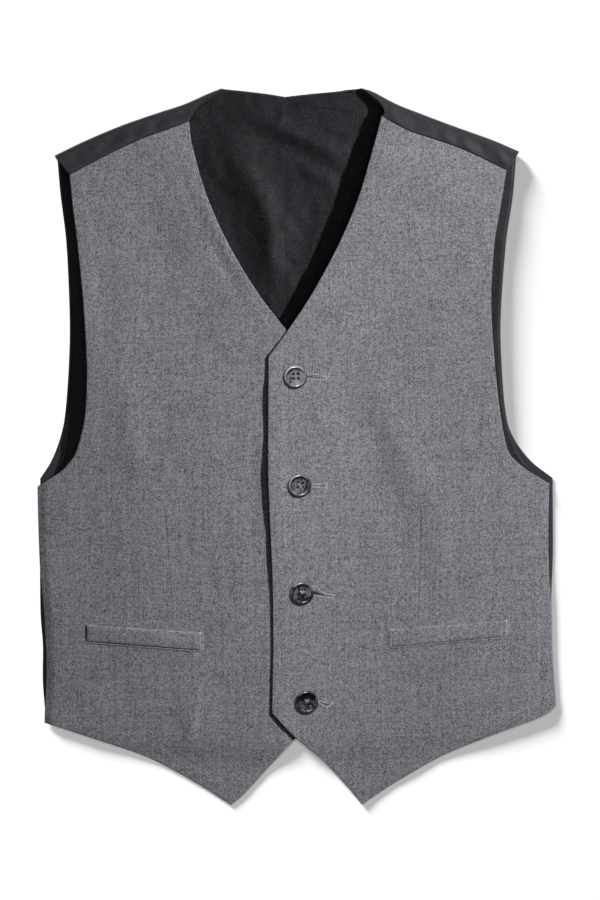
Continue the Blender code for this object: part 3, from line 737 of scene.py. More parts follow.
def shell(name, points, wall, rim, skins, parts=None, flipped=False):
    """A closed sheet of cloth on a grid of underside points, with a wall raised on it and rounded borders.

    The border of the grid is drawn in by the rim's radius, and the rim then swells out to the cut. Skins are
    the materials of the top, the underside and the rim; parts gives the underside a skin for each cell.
    """
    points = np.array(points, float)
    rows, columns = points.shape[:2]
    wall = np.broadcast_to(wall, (rows, columns)).copy()
    facing = np.cross(np.gradient(points, axis=1), np.gradient(points, axis=0))
    facing /= np.linalg.norm(facing, axis=2, keepdims=True)
    up = -facing if flipped else facing
    border = loop_of(rows, columns)
    row_of, column_of = border[:, 0], border[:, 1]
    out = outward(points[row_of, column_of], facing[row_of, column_of])
    points[row_of, column_of] -= out * rim
    upper = points + up * wall[..., None]
    middle = (points + upper)[row_of, column_of] / 2
    reach = (upper - points)[row_of, column_of] / 2
    rings = []
    for step in range(1, RIM_STEPS):
        turn = math.pi * step / RIM_STEPS
        rings.append(middle + out * rim * math.sin(turn) + reach * math.cos(turn))
    count = rows * columns
    index = np.arange(count).reshape(rows, columns)
    around = index[row_of, column_of]
    hoops = [around]
    hoops += [2 * count + len(border) * number + np.arange(len(border)) for number in range(len(rings))]
    hoops.append(around + count)
    a, b, c, d = index[:-1, :-1], index[:-1, 1:], index[1:, 1:], index[1:, :-1]
    top_faces = np.stack([a, b, c, d], axis=-1).reshape(-1, 4)
    bands = []
    for near, far in zip(hoops, hoops[1:]):
        bands.append(np.stack([np.roll(near, -1), near, far, np.roll(far, -1)], axis=-1))
    faces = np.vstack([top_faces, top_faces[:, ::-1] + count] + bands)
    if flipped:
        faces = faces[:, ::-1]
    vertices = np.vstack([upper.reshape(-1, 3), points.reshape(-1, 3)] + rings)
    mesh = bpy.data.meshes.new(name)
    mesh.from_pydata((vertices * MM).tolist(), [], faces.tolist())
    for skin in skins:
        mesh.materials.append(skin)
    skin_of = np.full(len(faces), 2 if len(skins) > 2 else 0)
    skin_of[: len(top_faces)] = 0
    under = slice(len(top_faces), 2 * len(top_faces))
    skin_of[under] = parts.reshape(-1) if parts is not None else len(skins) > 1
    mesh.polygons.foreach_set("material_index", skin_of.astype(np.int32))
    mesh.shade_smooth()
    mesh.update()
    return linked(name, mesh), middle_area(points, upper)


def middle_area(lower, upper):
    """Area of the sheet midway between its two faces, in square metres."""
    middle = (lower + upper) / 2 * MM
    across = np.diff(middle, axis=1)[:-1]
    along = np.diff(middle, axis=0)[:, :-1]
    return float(np.linalg.norm(np.cross(across, along), axis=2).sum())


# Pieces of cloth


def cloth_sizes():
    return bpy.context.scene.waistcoat_cloth


def sewing_sizes():
    return bpy.context.scene.waistcoat_sewing


def button_sizes():
    return bpy.context.scene.waistcoat_buttons


def declare(piece, node):
    """Parents a sheet of cloth to the body and hides the solid that it stands for."""
    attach(piece, BODY)
    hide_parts(node)


def lean_to_dart(plan, cut):
    """Draws the columns of a front's grid together onto the seam of its dart."""
    knots = DARTS[cut.hand]
    x, y = plan[..., 0], plan[..., 1]
    middle_row = np.abs(y[:, 0] - knots[1][1]).argmin()
    seam_column = np.abs(x[middle_row] - knots[1][0]).argmin()
    seam_y = y[:, seam_column]
    seam_x = edge_x(knots, seam_y)
    above = ease((knots[0][1] + DART_RUN_IN - seam_y) / DART_RUN_IN)
    fade = above * ease((seam_y - knots[-1][1] + DART_RUN_IN) / DART_RUN_IN)
    steps_off = np.arange(x.shape[1]) - seam_column
    pull = np.exp(-((steps_off / DART_PULL) ** 2))
    x += (fade * (seam_x - x[:, seam_column]))[:, None] * pull
    for number, distance in enumerate(DART_COLUMNS, start=1):
        for way in (-1, 1):
            column = seam_column + way * number
            target = x[:, seam_column] + way * cut.side * distance
            x[:, column] += fade * (target - x[:, column])


def front_wall(cut, x, y):
    """Wall of a front: thicker over the turned allowances, with the dart's seam let into it."""
    band = 1.0 - ease((from_edges(cut, TURNED_EDGES, x, y) - ALLOWANCE) / ALLOWANCE_FADE)
    wall = FRONT_MIDDLE_WALL + (FRONT_WALL - FRONT_MIDDLE_WALL) * band
    knots = DARTS[cut.hand]
    off, along = distance_to(knots, x, y, NEAR_DART_STEPS)
    side = np.sign(x - edge_x(knots, y))
    taper = ease(along / DART_FADE_IN) * ease((1.0 - along) / DART_FADE_OUT)
    depth = DART_DEPTHS[cut.hand] * (1.0 + DART_TOP * (1.0 - ease(along / DART_TOP_SPAN)))
    wall -= depth * taper * np.exp(-((off / DART_HALF_WIDTH) ** 2))
    lip = np.exp(-(((off * side - DART_LIP_OFFSET) / DART_LIP_HALF_WIDTH) ** 2))
    return wall + DART_LIPS[cut.hand] * taper * lip


def front_points(cut):
    """The underside of a front, up to its seam with the back."""
    shares = np.linspace(0.0, 1.0, FRONT_COLUMNS + 1)
    hem = smooth_curve(cut.hem)(shares)
    seam = smooth_curve(cut.shoulder)(shares)
    inner = long_edge(cut, FRONT_INNER_ROWS)
    outer = long_edge(cut, FRONT_OUTER_ROWS)
    plan = stretched_grid(inner, outer, hem, seam, shares)
    shoulder = Shoulder(cut, shares)
    plan[-1] = shoulder.top_row(1.0 + SEAM_GAP / 2 / shoulder.depth)
    lean_to_dart(plan, cut)
    return raised(plan, front_underside(cut, plan[..., 0], plan[..., 1]))


def front_cloth(cut):
    """One front, of wool faced with wool along its turned edges and lined behind."""
    points = front_points(cut)
    x, y = points[..., 0], points[..., 1]
    parts = (from_edges(cut, FACED_EDGES, x, y)[:-1, :-1] > FACING_WIDTH).astype(int)
    skins = (finish_of("grey_worsted"), finish_of("black_lining"), finish_of("grey_worsted"))
    wall = front_wall(cut, x, y)
    name = f"front_cloth_{cut.hand}"
    piece, area = shell(name, points, wall, cloth_sizes().edge_radius / MM, skins, parts, cut.side < 0)
    declare(piece, f"front_{cut.hand}")


def back_edges(cut):
    """The inner and outer long edges of a back, parted from the other back by half a seam gap."""
    seam_shift = np.array([cut.side * BACK_SEAM, 0.0])
    return long_edge(cut, BACK_INNER_ROWS) + seam_shift, long_edge(cut, BACK_OUTER_ROWS)


def back_points(cut):
    """The underside of a back: flat on the table, round the shoulder fold and forward to the seam."""
    inner, outer = back_edges(cut)
    shares = np.linspace(0.0, 1.0, BACK_COLUMNS + 1)
    shoulder = Shoulder(cut, shares)
    hem = smooth_curve(cut.back_hem)(shares)
    hem[0] = inner[0]
    roll_start = shoulder.floor_row(1.0)
    inner[-1], outer[-1] = roll_start[0], roll_start[-1]
    flat = stretched_grid(inner, outer, hem, roll_start, shares)
    rows = list(raised(flat, back_hollows(flat)))
    for step in range(1, ROLL_STEPS + 1):
        turn = math.pi * step / ROLL_STEPS
        away = 1.0 - math.sin(turn)
        under = turn <= math.pi / 2
        plan = shoulder.floor_row(away) if under else shoulder.top_row(shoulder.roll_share * away)
        rows.append(raised(plan, shoulder.radius * (1.0 - math.cos(turn))))
    seam_share = 1.0 - SEAM_GAP / 2 / shoulder.depth
    rise = shoulder.top - 2 * shoulder.radius
    for step in range(1, FLAP_ROWS + 1):
        share = step / FLAP_ROWS
        plan = shoulder.top_row(shoulder.roll_share + (seam_share - shoulder.roll_share) * share)
        puffed = creased(SHOULDER_CREASES, plan[:, 0], plan[:, 1]) * 4.0 * share * (1.0 - share)
        rows.append(raised(plan, 2 * shoulder.radius + rise * ease(share) + puffed))
    return np.array(rows)


def back_hollows(plan):
    """Shallow hollows of the underside, none at the borders, where the cloth lies on the table."""
    hollow = creased(BACK_HOLLOWS, plan[..., 0], plan[..., 1])
    rows, columns = hollow.shape
    up = np.minimum(np.arange(rows), np.arange(rows)[::-1]) / HOLLOW_EASE_ROWS
    across = np.minimum(np.arange(columns), np.arange(columns)[::-1]) / HOLLOW_EASE_COLUMNS
    return np.clip(hollow, 0.0, None) * ease(up)[:, None] * ease(across)


def back_cloth(cut):
    """One half of the satin back."""
    points = back_points(cut)
    rim = cloth_sizes().edge_radius / MM
    flat_rows = sum(stretch.count for stretch in BACK_INNER_ROWS) + 1
    wall = np.full(points.shape[:2], BACK_WALL)
    wall[:flat_rows] -= HOLLOW_FILL * points[:flat_rows, :, 2]
    skins = (finish_of("black_satin"),)
    piece, area = shell(f"back_cloth_{cut.hand}", points, wall, rim, skins, None, cut.side < 0)
    declare(piece, f"back_{cut.hand}")


def lining_insets():
    """How far each row of the lining is drawn in from the outer edge of the back."""
    side_rows = BACK_OUTER_ROWS[0].count
    row_numbers = np.arange(sum(stretch.count for stretch in BACK_OUTER_ROWS) + 1)
    past_side = np.maximum(row_numbers - side_rows, 0) / LINING_EASE_ROWS
    return LINING_EDGE_INSET + (LINING_SIDE_INSET - LINING_EDGE_INSET) * ease(1.0 - past_side)


def drawn_to(line, start, end, shares):
    """A line whose ends are moved to two points, and the rest of it with them."""
    return line + (1.0 - shares)[:, None] * (start - line[0]) + shares[:, None] * (end - line[-1])


def lining_points(cut):
    """The back's lining: the same cut, drawn in from the edges, up to the shoulder fold."""
    inner, outer = back_edges(cut)
    outer[:, 0] -= cut.side * lining_insets()
    inner[:, 0] -= cut.side * (BACK_SEAM - LINING_SEAM)
    inner[NECK_ROWS_FROM:, 1] -= LINING_EDGE_INSET
    shares = np.linspace(0.0, 1.0, LINING_COLUMNS + 1)
    shares[1] = LINING_SEAM_SHARE
    hem = drawn_to(smooth_curve(cut.back_hem)(shares), inner[0], outer[0], shares)
    hem[:, 1] += LINING_HEM_INSET
    shoulder = Shoulder(cut, shares)
    climb = LINING_CLIMB * np.exp(-((shares / LINING_CLIMB_SPAN) ** 2))
    top = shoulder.floor_row((1.0 + LINING_EDGE_INSET / shoulder.radius - climb)[:, None])
    at_neck = top[0] - (0.0, LINING_EDGE_INSET)
    at_arm = top[-1] - (cut.side * LINING_EDGE_INSET, 0.0)
    top = drawn_to(top, at_neck, at_arm, shares)
    inner[0], outer[0] = hem[0], hem[-1]
    neck = inner[NECK_ROWS_FROM:]
    inner[NECK_ROWS_FROM:] = drawn_to(neck, neck[0], top[0], np.linspace(0.0, 1.0, len(neck)))
    outer[-1] = top[-1]
    plan = stretched_grid(inner, outer, hem, top, shares)
    x, y = plan[..., 0], plan[..., 1]
    loose = LINING_WALL - SHEER_WALL
    relief = creased(LINING_CREASES, x, y, cloth_sizes().crease_depth) + LINING_RIPPLE * rippled(x, y)
    seam_off = np.abs(x - edge_x(CENTRE_BACK, y))
    relief = (loose + relief) * (1.0 - LINING_SEAM_PULL * np.exp(-((seam_off / LINING_SEAM_REACH) ** 2)))
    covered = ease((COVERED_BELOW - y) / COVERED_BELOW) * ease((COVERED_WITHIN - np.abs(x)) / COVERED_FADE)
    height = relief * (1.0 - covered) + np.minimum(relief, COVERED_RELIEF) * covered
    return raised(plan, LINING_FLOOR + resting(height, LINING_SOFTNESS) + shoulder.climb(plan))


def lining_cloth(cut):
    """The lining of one half of the back."""
    points = lining_points(cut)
    skins = (finish_of("black_lining"),)
    name = f"lining_cloth_{cut.hand}"
    piece, area = shell(name, points, SHEER_WALL, SHEER_RIM, skins, None, cut.side < 0)
    declare(piece, f"back_lining_{cut.hand}")


FAR_ABOVE = 100.0  # where the rays that find the cloth start


def upper_surface(piece):
    """A function that gives the height of the piece's upper face at a plan point, in millimetres."""
    bpy.context.view_layer.update()
    tree = BVHTree.FromObject(piece, bpy.context.evaluated_depsgraph_get())

    def height(x, y):
        above = Vector((x, y, FAR_ABOVE)) * MM
        hit = tree.ray_cast(above, Vector((0.0, 0.0, -1.0)))[0]
        return hit.z / MM

    return height


# Section of a welt from the foot up: distance above the foot, clearance under it and thickness
WeltRow = namedtuple("WeltRow", "up clearance wall")
WELT_ROWS = (
    WeltRow(0.0, 0.05, 0.08),
    WeltRow(0.35, 0.05, 0.16),
    WeltRow(0.7, 0.06, 0.28),
    WeltRow(0.95, 0.06, 0.34),
    WeltRow(1.2, 0.06, 0.12),
    WeltRow(1.5, 0.06, 0.1),
    WeltRow(1.75, 0.08, 0.45),
    WeltRow(2.1, 0.1, 0.75),
    WeltRow(2.7, 0.14, 0.92),
    WeltRow(4.0, 0.18, 0.96),
    WeltRow(6.0, 0.22, 0.96),
    WeltRow(8.5, 0.26, 0.98),
    WeltRow(10.5, 0.28, 1.0),
    WeltRow(11.6, 0.28, 1.0),
    WeltRow(12.2, 0.28, 0.9),
    WeltRow(12.6, 0.26, 0.72),
    WeltRow(12.9, 0.24, 0.5),
)
WELT_COLUMNS = 110
WELT_SMOOTHINGS = 3  # how often the height of the cloth under a welt is evened out along it
WELT_END_THINNING = 0.45
WELT_END_REACH = 2.5
WELT_SPAN = 76.0  # the length that the thinning of the ends is measured on
WELT_BOW = 0.12  # how far the upper edge stands off in the middle
WELT_WAVER = 0.04  # and its small unevenness
WELT_WAVERS = 9.0
WELT_RIM = 0.3


def welt_plan(cut):
    """Plan grid of a welt, its columns from the end nearer the buttons and its rows from the foot."""
    low_in, low_out, high_in, high_out = np.array(cut.welt)
    u = np.linspace(0.0, 1.0, WELT_COLUMNS + 1)[None, :, None]
    v = np.array([row.up for row in WELT_ROWS])[:, None, None] / WELT_ROWS[-1].up
    return (1 - v) * ((1 - u) * low_in + u * low_out) + v * ((1 - u) * high_in + u * high_out)


def welt_cloth(cut):
    """A pocket welt: a folded strip sewn to its front at the foot and at both ends."""
    height = upper_surface(bpy.data.objects[f"front_cloth_{cut.hand}"])
    plan = welt_plan(cut)
    below = np.array([[height(x, y) for x, y in row] for row in plan])
    smooth = below.copy()
    for _ in range(WELT_SMOOTHINGS):
        smooth[:, 1:-1] = (smooth[:, :-2] + smooth[:, 1:-1] + smooth[:, 2:]) / 3
    below = np.maximum(below, smooth)
    clearance = np.array([row.clearance for row in WELT_ROWS])[:, None]
    run = np.linspace(0.0, 1.0, WELT_COLUMNS + 1)
    from_end = np.minimum(run, 1.0 - run) * WELT_SPAN
    thinned = 1.0 - WELT_END_THINNING * np.exp(-((from_end / WELT_END_REACH) ** 2))
    wall = np.array([row.wall for row in WELT_ROWS])[:, None] * thinned
    bowed = WELT_BOW * np.sin(math.pi * run) + WELT_WAVER * np.sin(WELT_WAVERS * run + 1.0)
    upward = np.linspace(0.0, 1.0, len(WELT_ROWS))[:, None]
    points = raised(plan, below + clearance + bowed * upward)
    skins = (finish_of("grey_worsted"),)
    name = f"welt_cloth_{cut.hand}"
    piece, area = shell(name, points, wall, WELT_RIM, skins, None, cut.side < 0)
    declare(piece, f"pocket_welt_{cut.hand}")


# Sewing and buttons

# How stitches lie along a path: their spacing, length, width and height, how far they are turned off the
# path in degrees, and how uneven those turns are, in radians
Stitch = namedtuple("Stitch", "spacing length width height turn unevenness")
RUN_STITCH = Stitch(1.5, 1.15, 0.4, 0.3, 0.0, 0.1)
TACK_STITCH = Stitch(0.4, 1.3, 0.34, 0.34, 84.0, 0.1)
STITCH_SEED = 3
STITCH_SIDES = 8
STITCH_RINGS = 6
SHORTEST_STITCH = 0.8  # shares of the full size
LONGEST_STITCH = 1.15


def stitch_tree():
    """Nodes that set stitches along paths: short rounded threads, turned off the path, a little uneven."""
    tree = bpy.data.node_groups.new("stitches_along_paths", "GeometryNodeTree")
    sockets = tree.interface
    sockets.new_socket("Paths", in_out="INPUT", socket_type="NodeSocketGeometry")
    for name in ("Spacing", "Length", "Width", "Height", "Turn", "Unevenness"):
        sockets.new_socket(name, in_out="INPUT", socket_type="NodeSocketFloat")
    sockets.new_socket("Seed", in_out="INPUT", socket_type="NodeSocketInt")
    sockets.new_socket("Thread", in_out="INPUT", socket_type="NodeSocketMaterial")
    sockets.new_socket("Stitches", in_out="OUTPUT", socket_type="NodeSocketGeometry")
    given = add_node(tree, "NodeGroupInput").outputs

    def made(kind, values, **settings):
        return add_node(tree, kind, settings, values).outputs[0]

    def between(low, high):
        node = add_node(tree, "FunctionNodeRandomValue", {"data_type": "FLOAT"}, {2: low, 3: high})
        tree.links.new(given["Seed"], node.inputs["Seed"])
        return node.outputs[1]

    curve = made("GeometryNodeMeshToCurve", {"Mesh": given["Paths"]})
    spaced = made("GeometryNodeResampleCurve", {"Curve": curve, "Length": given["Spacing"]}, mode="LENGTH")
    ball = {"Segments": STITCH_SIDES, "Rings": STITCH_RINGS, "Radius": 0.5}
    rounded = made("GeometryNodeSetShadeSmooth", {"Geometry": made("GeometryNodeMeshUVSphere", ball)})
    along = {"Vector": made("GeometryNodeInputTangent", {})}
    aligned = made("FunctionNodeAlignRotationToVector", along, axis="X", pivot_axis="Z")
    swung = made("ShaderNodeMath", {0: between(-1.0, 1.0), 1: given["Unevenness"]}, operation="MULTIPLY")
    angle = made("ShaderNodeMath", {0: swung, 1: given["Turn"]}, operation="ADD")
    turn = made("FunctionNodeEulerToRotation", {0: made("ShaderNodeCombineXYZ", {"Z": angle})})
    both = {"Rotation": aligned, "Rotate By": turn}
    turned = made("FunctionNodeRotateRotation", both, rotation_space="LOCAL")
    sides = {"X": given["Length"], "Y": given["Width"], "Z": given["Height"]}
    size = made("ShaderNodeCombineXYZ", sides)
    share = between(SHORTEST_STITCH, LONGEST_STITCH)
    scaled = made("ShaderNodeVectorMath", {0: size, "Scale": share}, operation="SCALE")
    placing = {"Points": spaced, "Instance": rounded, "Rotation": turned, "Scale": scaled}
    placed = made("GeometryNodeInstanceOnPoints", placing)
    real = made("GeometryNodeRealizeInstances", {"Geometry": placed})
    dyed = made("GeometryNodeSetMaterial", {"Geometry": real, "Material": given["Thread"]})
    add_node(tree, "NodeGroupOutput", {}, {"Stitches": dyed})
    return tree


def sewn(name, paths, thread, stitch):
    """A mesh of stitches along open paths of points, given in millimetres."""
    points, edges = [], []
    for path in paths:
        first = len(points)
        points.extend((np.array(path) * MM).tolist())
        edges.extend((first + step, first + step + 1) for step in range(len(path) - 1))
    mesh = bpy.data.meshes.new(name + "_paths")
    mesh.from_pydata(points, edges, [])
    carrier = linked(name + "_paths", mesh)
    tree = bpy.data.node_groups.get("stitches_along_paths") or stitch_tree()
    modifier = carrier.modifiers.new("stitches", "NODES")
    modifier.node_group = tree
    values = {
        "Spacing": stitch.spacing * MM,
        "Length": stitch.length * MM,
        "Width": stitch.width * MM,
        "Height": stitch.height * MM,
        "Turn": math.radians(stitch.turn),
        "Unevenness": stitch.unevenness,
        "Seed": STITCH_SEED,
        "Thread": thread,
    }
    for item in tree.interface.items_tree:
        if item.in_out == "INPUT" and item.name in values:
            modifier[item.identifier] = values[item.name]
    stitches = mesh_made_by(carrier)
    bpy.data.meshes.remove(mesh)
    stitches.name = name
    return stitches


def joined(name, meshes):
    """One object of several meshes, with each of their materials once."""
    whole = bmesh.new()
    materials = []
    for mesh in meshes:
        before = len(whole.faces)
        whole.from_mesh(mesh)
        whole.faces.ensure_lookup_table()
        for face in whole.faces[before:]:
            material = mesh.materials[face.material_index]
            if material not in materials:
                materials.append(material)
            face.material_index = materials.index(material)
    merged = mesh_of(name, whole)
    for material in materials:
        merged.materials.append(material)
    piece = linked(name, merged)
    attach(piece, BODY)
    return piece


SEAM_STEP = 0.5  # between two points of a line of sewing


def on_cloth(height, line, lift):
    """Points of a plan line raised onto the cloth, a small step apart."""
    line = np.array(line, float)
    length = np.linalg.norm(np.diff(line, axis=0), axis=1).sum()
    fine = smooth_curve(line)(np.linspace(0.0, 1.0, max(3, int(length / SEAM_STEP) + 1)))
    return np.array([(x, y, height(x, y) + lift) for x, y in fine])


# Rows and columns of a welt's grid that its sewing keeps to, and how high the stitches lie
RUN_FOOT_ROW = 7
SEWING_TOP_ROW = -2
RUN_COLUMN = 3  # in from either end
TACK_COLUMNS = (1, 4)  # past the first or the last column
RUN_LIFT = 0.02
TACK_LIFT = 0.04


def welt_stitches():
    """Running stitches down both ends of each welt and a small bar tack at each top corner."""
    meshes = []
    thread = finish_of("grey_thread")
    for cut in (LEFT, RIGHT):
        height = upper_surface(bpy.data.objects[f"welt_cloth_{cut.hand}"])
        plan = welt_plan(cut)
        runs, tacks = [], []
        for column in (RUN_COLUMN, WELT_COLUMNS - RUN_COLUMN):
            foot, top = plan[RUN_FOOT_ROW, column], plan[SEWING_TOP_ROW, column]
            runs.append(on_cloth(height, [foot, (foot + top) / 2, top], RUN_LIFT))
        for column, way in ((1, 1), (WELT_COLUMNS - 1, -1)):
            corner, inner = (plan[SEWING_TOP_ROW, column + way * off] for off in TACK_COLUMNS)
            tacks.append(on_cloth(height, [corner, (corner + inner) / 2, inner], TACK_LIFT))
        meshes.append(sewn("welt_runs", runs, thread, RUN_STITCH))
        meshes.append(sewn("welt_tacks", tacks, thread, TACK_STITCH))
    return joined("welt_stitches", meshes)


# Buttonholes, measured from the centre of each button: the two rows of purl, and the slit, with the half
# width at each knot of the dark sheet of painted shade that stands for the shadow in its gap
Hole = namedtuple("Hole", "upper lower slit")
BUTTONHOLES = (
    Hole(
        ((6.6, 2.9), (9.8, 2.3), (13.4, 2.0), (16.8, 1.0), (19.6, 0.3), (22.2, 0.5)),
        ((6.6, -1.0), (10.8, -1.2), (14.0, -1.7), (17.2, -1.7), (20.4, -1.7)),
        ((6.6, 0.2, 0.45), (9.5, 0.2, 0.4), (11.4, 0.0, 0.16), (14.2, -0.6, 0.12), (20.6, -0.8, 0.1)),
    ),
    Hole(
        ((6.6, 1.1), (12.0, 1.0), (15.0, 1.3), (18.4, 1.7)),
        ((6.6, -0.6), (12.0, -0.9), (15.0, -1.2), (18.0, -1.6)),
        ((6.6, 0.3, 0.16), (12.0, 0.05, 0.1), (17.4, 0.05, 0.1)),
    ),
    Hole(
        ((5.6, 4.6), (8.4, 5.0), (10.6, 3.9), (12.2, 1.6), (15.0, 0.1), (18.0, -0.7), (21.6, -1.0)),
        ((6.6, -1.2), (11.0, -1.5), (14.0, -2.0), (17.5, -2.7), (21.0, -2.9)),
        ((6.6, 0.6, 1.4), (9.5, 0.2, 1.15), (12.0, -0.5, 0.4), (14.5, -1.1, 0.14), (20.6, -1.9, 0.12)),
    ),
    Hole(
        ((6.6, 0.8), (12.0, -0.1), (15.0, -0.5), (17.6, -0.8)),
        ((6.6, 0.0), (9.6, -1.4), (12.0, -2.6), (13.8, -3.6)),
        ((6.6, 0.3, 0.2), (10.0, -0.5, 0.3), (13.0, -1.5, 0.3), (15.6, -1.3, 0.06)),
    ),
)
PURL_STEPS = 30
PURL_WIDTH = 0.62
PURL_HEIGHT = 0.42
PURL_TURN = -58.0
PURL_UNEVENNESS = 0.5
PURL_LIFT = 0.14
BAR_SPACING = 1.0
BAR_TURN = 60.0
BAR_UNEVENNESS = 0.3
BAR_KNOTS = 5
# points along the painted shade sheet of each slit, and how far it lies above the cloth
SLIT_STEPS = 40
SLIT_LIFT = 0.03


def beside_button(knots, centre, steps):
    """A smooth line of plan points, from knots measured from the centre of a button."""
    return smooth_curve(knots)(np.linspace(0.0, 1.0, steps)) + np.array(centre)


def buttonholes():
    """Purl stitches along both sides of each hole, a bar at its end, and painted shade in the slit between
    them.
    """
    height = upper_surface(bpy.data.objects["front_cloth_left"])
    thread = finish_of("grey_thread")
    size = sewing_sizes()
    length = size.purl_length / MM
    purl = Stitch(size.purl_spacing / MM, length, PURL_WIDTH, PURL_HEIGHT, PURL_TURN, PURL_UNEVENNESS)
    across = Stitch(BAR_SPACING, length, PURL_WIDTH, PURL_HEIGHT, BAR_TURN, BAR_UNEVENNESS)
    meshes = []
    for centre, hole in zip(BUTTON_CENTRES, BUTTONHOLES):
        upper = on_cloth(height, beside_button(hole.upper, centre, PURL_STEPS), PURL_LIFT)
        lower = on_cloth(height, beside_button(hole.lower, centre, PURL_STEPS), PURL_LIFT)
        bar = on_cloth(height, np.linspace(upper[-1][:2], lower[-1][:2], BAR_KNOTS), PURL_LIFT)
        meshes.append(sewn("purl", [upper], thread, purl))
        meshes.append(sewn("purl", [lower], thread, purl))
        meshes.append(sewn("bar", [bar], thread, across))
        meshes.append(painted_slit_shade_sheet(height, centre, hole))
    piece = joined("buttonhole_stitches", meshes)


def painted_slit_shade_sheet(height, centre, hole):
    """A dark sheet of painted shade for the gap of a buttonhole, a sliver that lies just above the cloth."""
    knots = np.array(hole.slit)
    line = beside_button(knots[:, :2], centre, SLIT_STEPS)
    halves = np.interp(np.linspace(0.0, 1.0, SLIT_STEPS), np.linspace(0.0, 1.0, len(knots)), knots[:, 2])
    shade_sliver = bmesh.new()
    grid = []
    for side in (-1, 0, 1):
        row = []
        for (x, y), half in zip(line, halves):
            spot = Vector((x, y + side * half, height(x, y + side * half) + SLIT_LIFT))
            row.append(shade_sliver.verts.new(spot * MM))
        grid.append(row)
    for near, far in zip(grid, grid[1:]):
        for a, b, c, d in zip(near, near[1:], far[1:], far):
            shade_sliver.faces.new((a, b, c, d))
    mesh = mesh_of("slit", shade_sliver)
    mesh.materials.append(finish_of("slit_shade"))
    return mesh


# Half the outline of a button, in millimetres from its axis and its foot
BUTTON_OUTLINE = (
    (0.0, 1.5),
    (2.6, 1.52),
    (4.1, 1.62),
    (4.55, 1.78),
    (4.85, 1.72),
    (5.4, 1.76),
    (5.85, 1.9),
    (6.15, 2.28),
    (6.36, 2.66),
    (6.52, 2.74),
    (6.76, 2.68),
    (7.08, 2.48),
    (7.36, 2.18),
    (7.6, 1.7),
    (7.7, 1.2),
    (7.55, 0.8),
    (7.0, 0.4),
    (6.2, 0.2),
    (4.8, 0.05),
    (0.0, 0.0),
)
OUTLINE_POINTS = 56
BUTTON_SIDES = 96
PIN_SIDES = 20
PIN_DEPTH = 8.0
PIN_FLARE = 0.16  # how far the mouth of a hole opens out
PIN_BEVEL = 0.4  # share of the flare at which its slope changes
MERGED_WITHIN = 0.02
SHARP_FROM = 50.0  # degrees between two faces that meet at a sharp edge
HOLES_SHIFT = (0.25, 0.4)  # of the four holes from the middle of the button


def button_pins(spacing, radius):
    """Four flared pins that bore the holes of a button and ease their mouths."""
    pins = bmesh.new()
    mouth = BUTTON_OUTLINE[0][1]
    for across in (-0.5, 0.5):
        for along in (-0.5, 0.5):
            place = Vector((across * spacing + HOLES_SHIFT[0], along * spacing + HOLES_SHIFT[1], 0.0))
            outline = [
                (radius, -PIN_DEPTH / 2),
                (radius, mouth - PIN_FLARE),
                (radius + PIN_BEVEL * PIN_FLARE, mouth - PIN_BEVEL * PIN_FLARE),
                (radius + (1.0 + PIN_BEVEL) * PIN_FLARE, mouth + PIN_BEVEL * PIN_FLARE),
                (radius + (1.0 + PIN_BEVEL) * PIN_FLARE, PIN_DEPTH / 2),
            ]
            hoops = []
            for reach, z in outline:
                hoop = []
                for step in range(PIN_SIDES):
                    turn = 2 * math.pi * step / PIN_SIDES
                    spot = place + Vector((reach * math.cos(turn), reach * math.sin(turn), z))
                    hoop.append(pins.verts.new(spot * MM))
                hoops.append(hoop)
            pins.faces.new(hoops[0][::-1])
            pins.faces.new(hoops[-1])
            for low, high in zip(hoops, hoops[1:]):
                for step in range(PIN_SIDES):
                    after = (step + 1) % PIN_SIDES
                    pins.faces.new((low[step], low[after], high[after], high[step]))
    return mesh_of("button_pins", pins)


def turned_button():
    """One turned horn button with its four holes bored, standing on the origin."""
    size = button_sizes()
    scale = size.span / MM / BUTTON_SPAN
    fine = smooth_curve(BUTTON_OUTLINE)(np.linspace(0.0, 1.0, OUTLINE_POINTS))
    outline = bmesh.new()
    ends = [outline.verts.new((max(reach, 0.0) * scale * MM, 0.0, z * MM)) for reach, z in fine]
    for first, second in zip(ends, ends[1:]):
        outline.edges.new((first, second))
    blank = linked("button_blank", mesh_of("button_profile", outline))
    turn = blank.modifiers.new("turn", "SCREW")
    turn.steps = BUTTON_SIDES
    turn.render_steps = BUTTON_SIDES
    turn.use_merge_vertices = True
    turn.merge_threshold = MERGED_WITHIN * MM
    pins = linked("button_pins", button_pins(size.hole_spacing / MM, size.hole_radius / MM))
    bore = blank.modifiers.new("holes", "BOOLEAN")
    bore.operation = "DIFFERENCE"
    bore.solver = "EXACT"
    bore.object = pins
    made = mesh_made_by(blank)
    bpy.data.objects.remove(pins)
    made.shade_smooth()
    made.set_sharp_from_angle(angle=math.radians(SHARP_FROM))
    made.materials.clear()
    made.materials.append(finish_of("smoke_horn"))
    return made


def button_seat(centre, height):
    """The placing of a button that lies on the cloth, tilted as the cloth under it is."""
    radius = BUTTON_SPAN / 2
    x, y = centre
    slope_x = (height(x + radius, y) - height(x - radius, y)) / BUTTON_SPAN
    slope_y = (height(x, y + radius) - height(x, y - radius)) / BUTTON_SPAN
    normal = Vector((-slope_x, -slope_y, 1.0)).normalized()
    base = height(x, y)
    stand = 0.0
    for step in range(SEAT_TURNS):
        turn = 2 * math.pi * step / SEAT_TURNS
        for share in SEAT_RINGS:
            dx = share * radius * math.cos(turn)
            dy = share * radius * math.sin(turn)
            stand = max(stand, height(x + dx, y + dy) - base - slope_x * dx - slope_y * dy)
    tilt = Vector((0.0, 0.0, 1.0)).rotation_difference(normal).to_matrix().to_4x4()
    return Matrix.Translation(Vector((x, y, base + stand + SEAM_GAP)) * MM) @ tilt


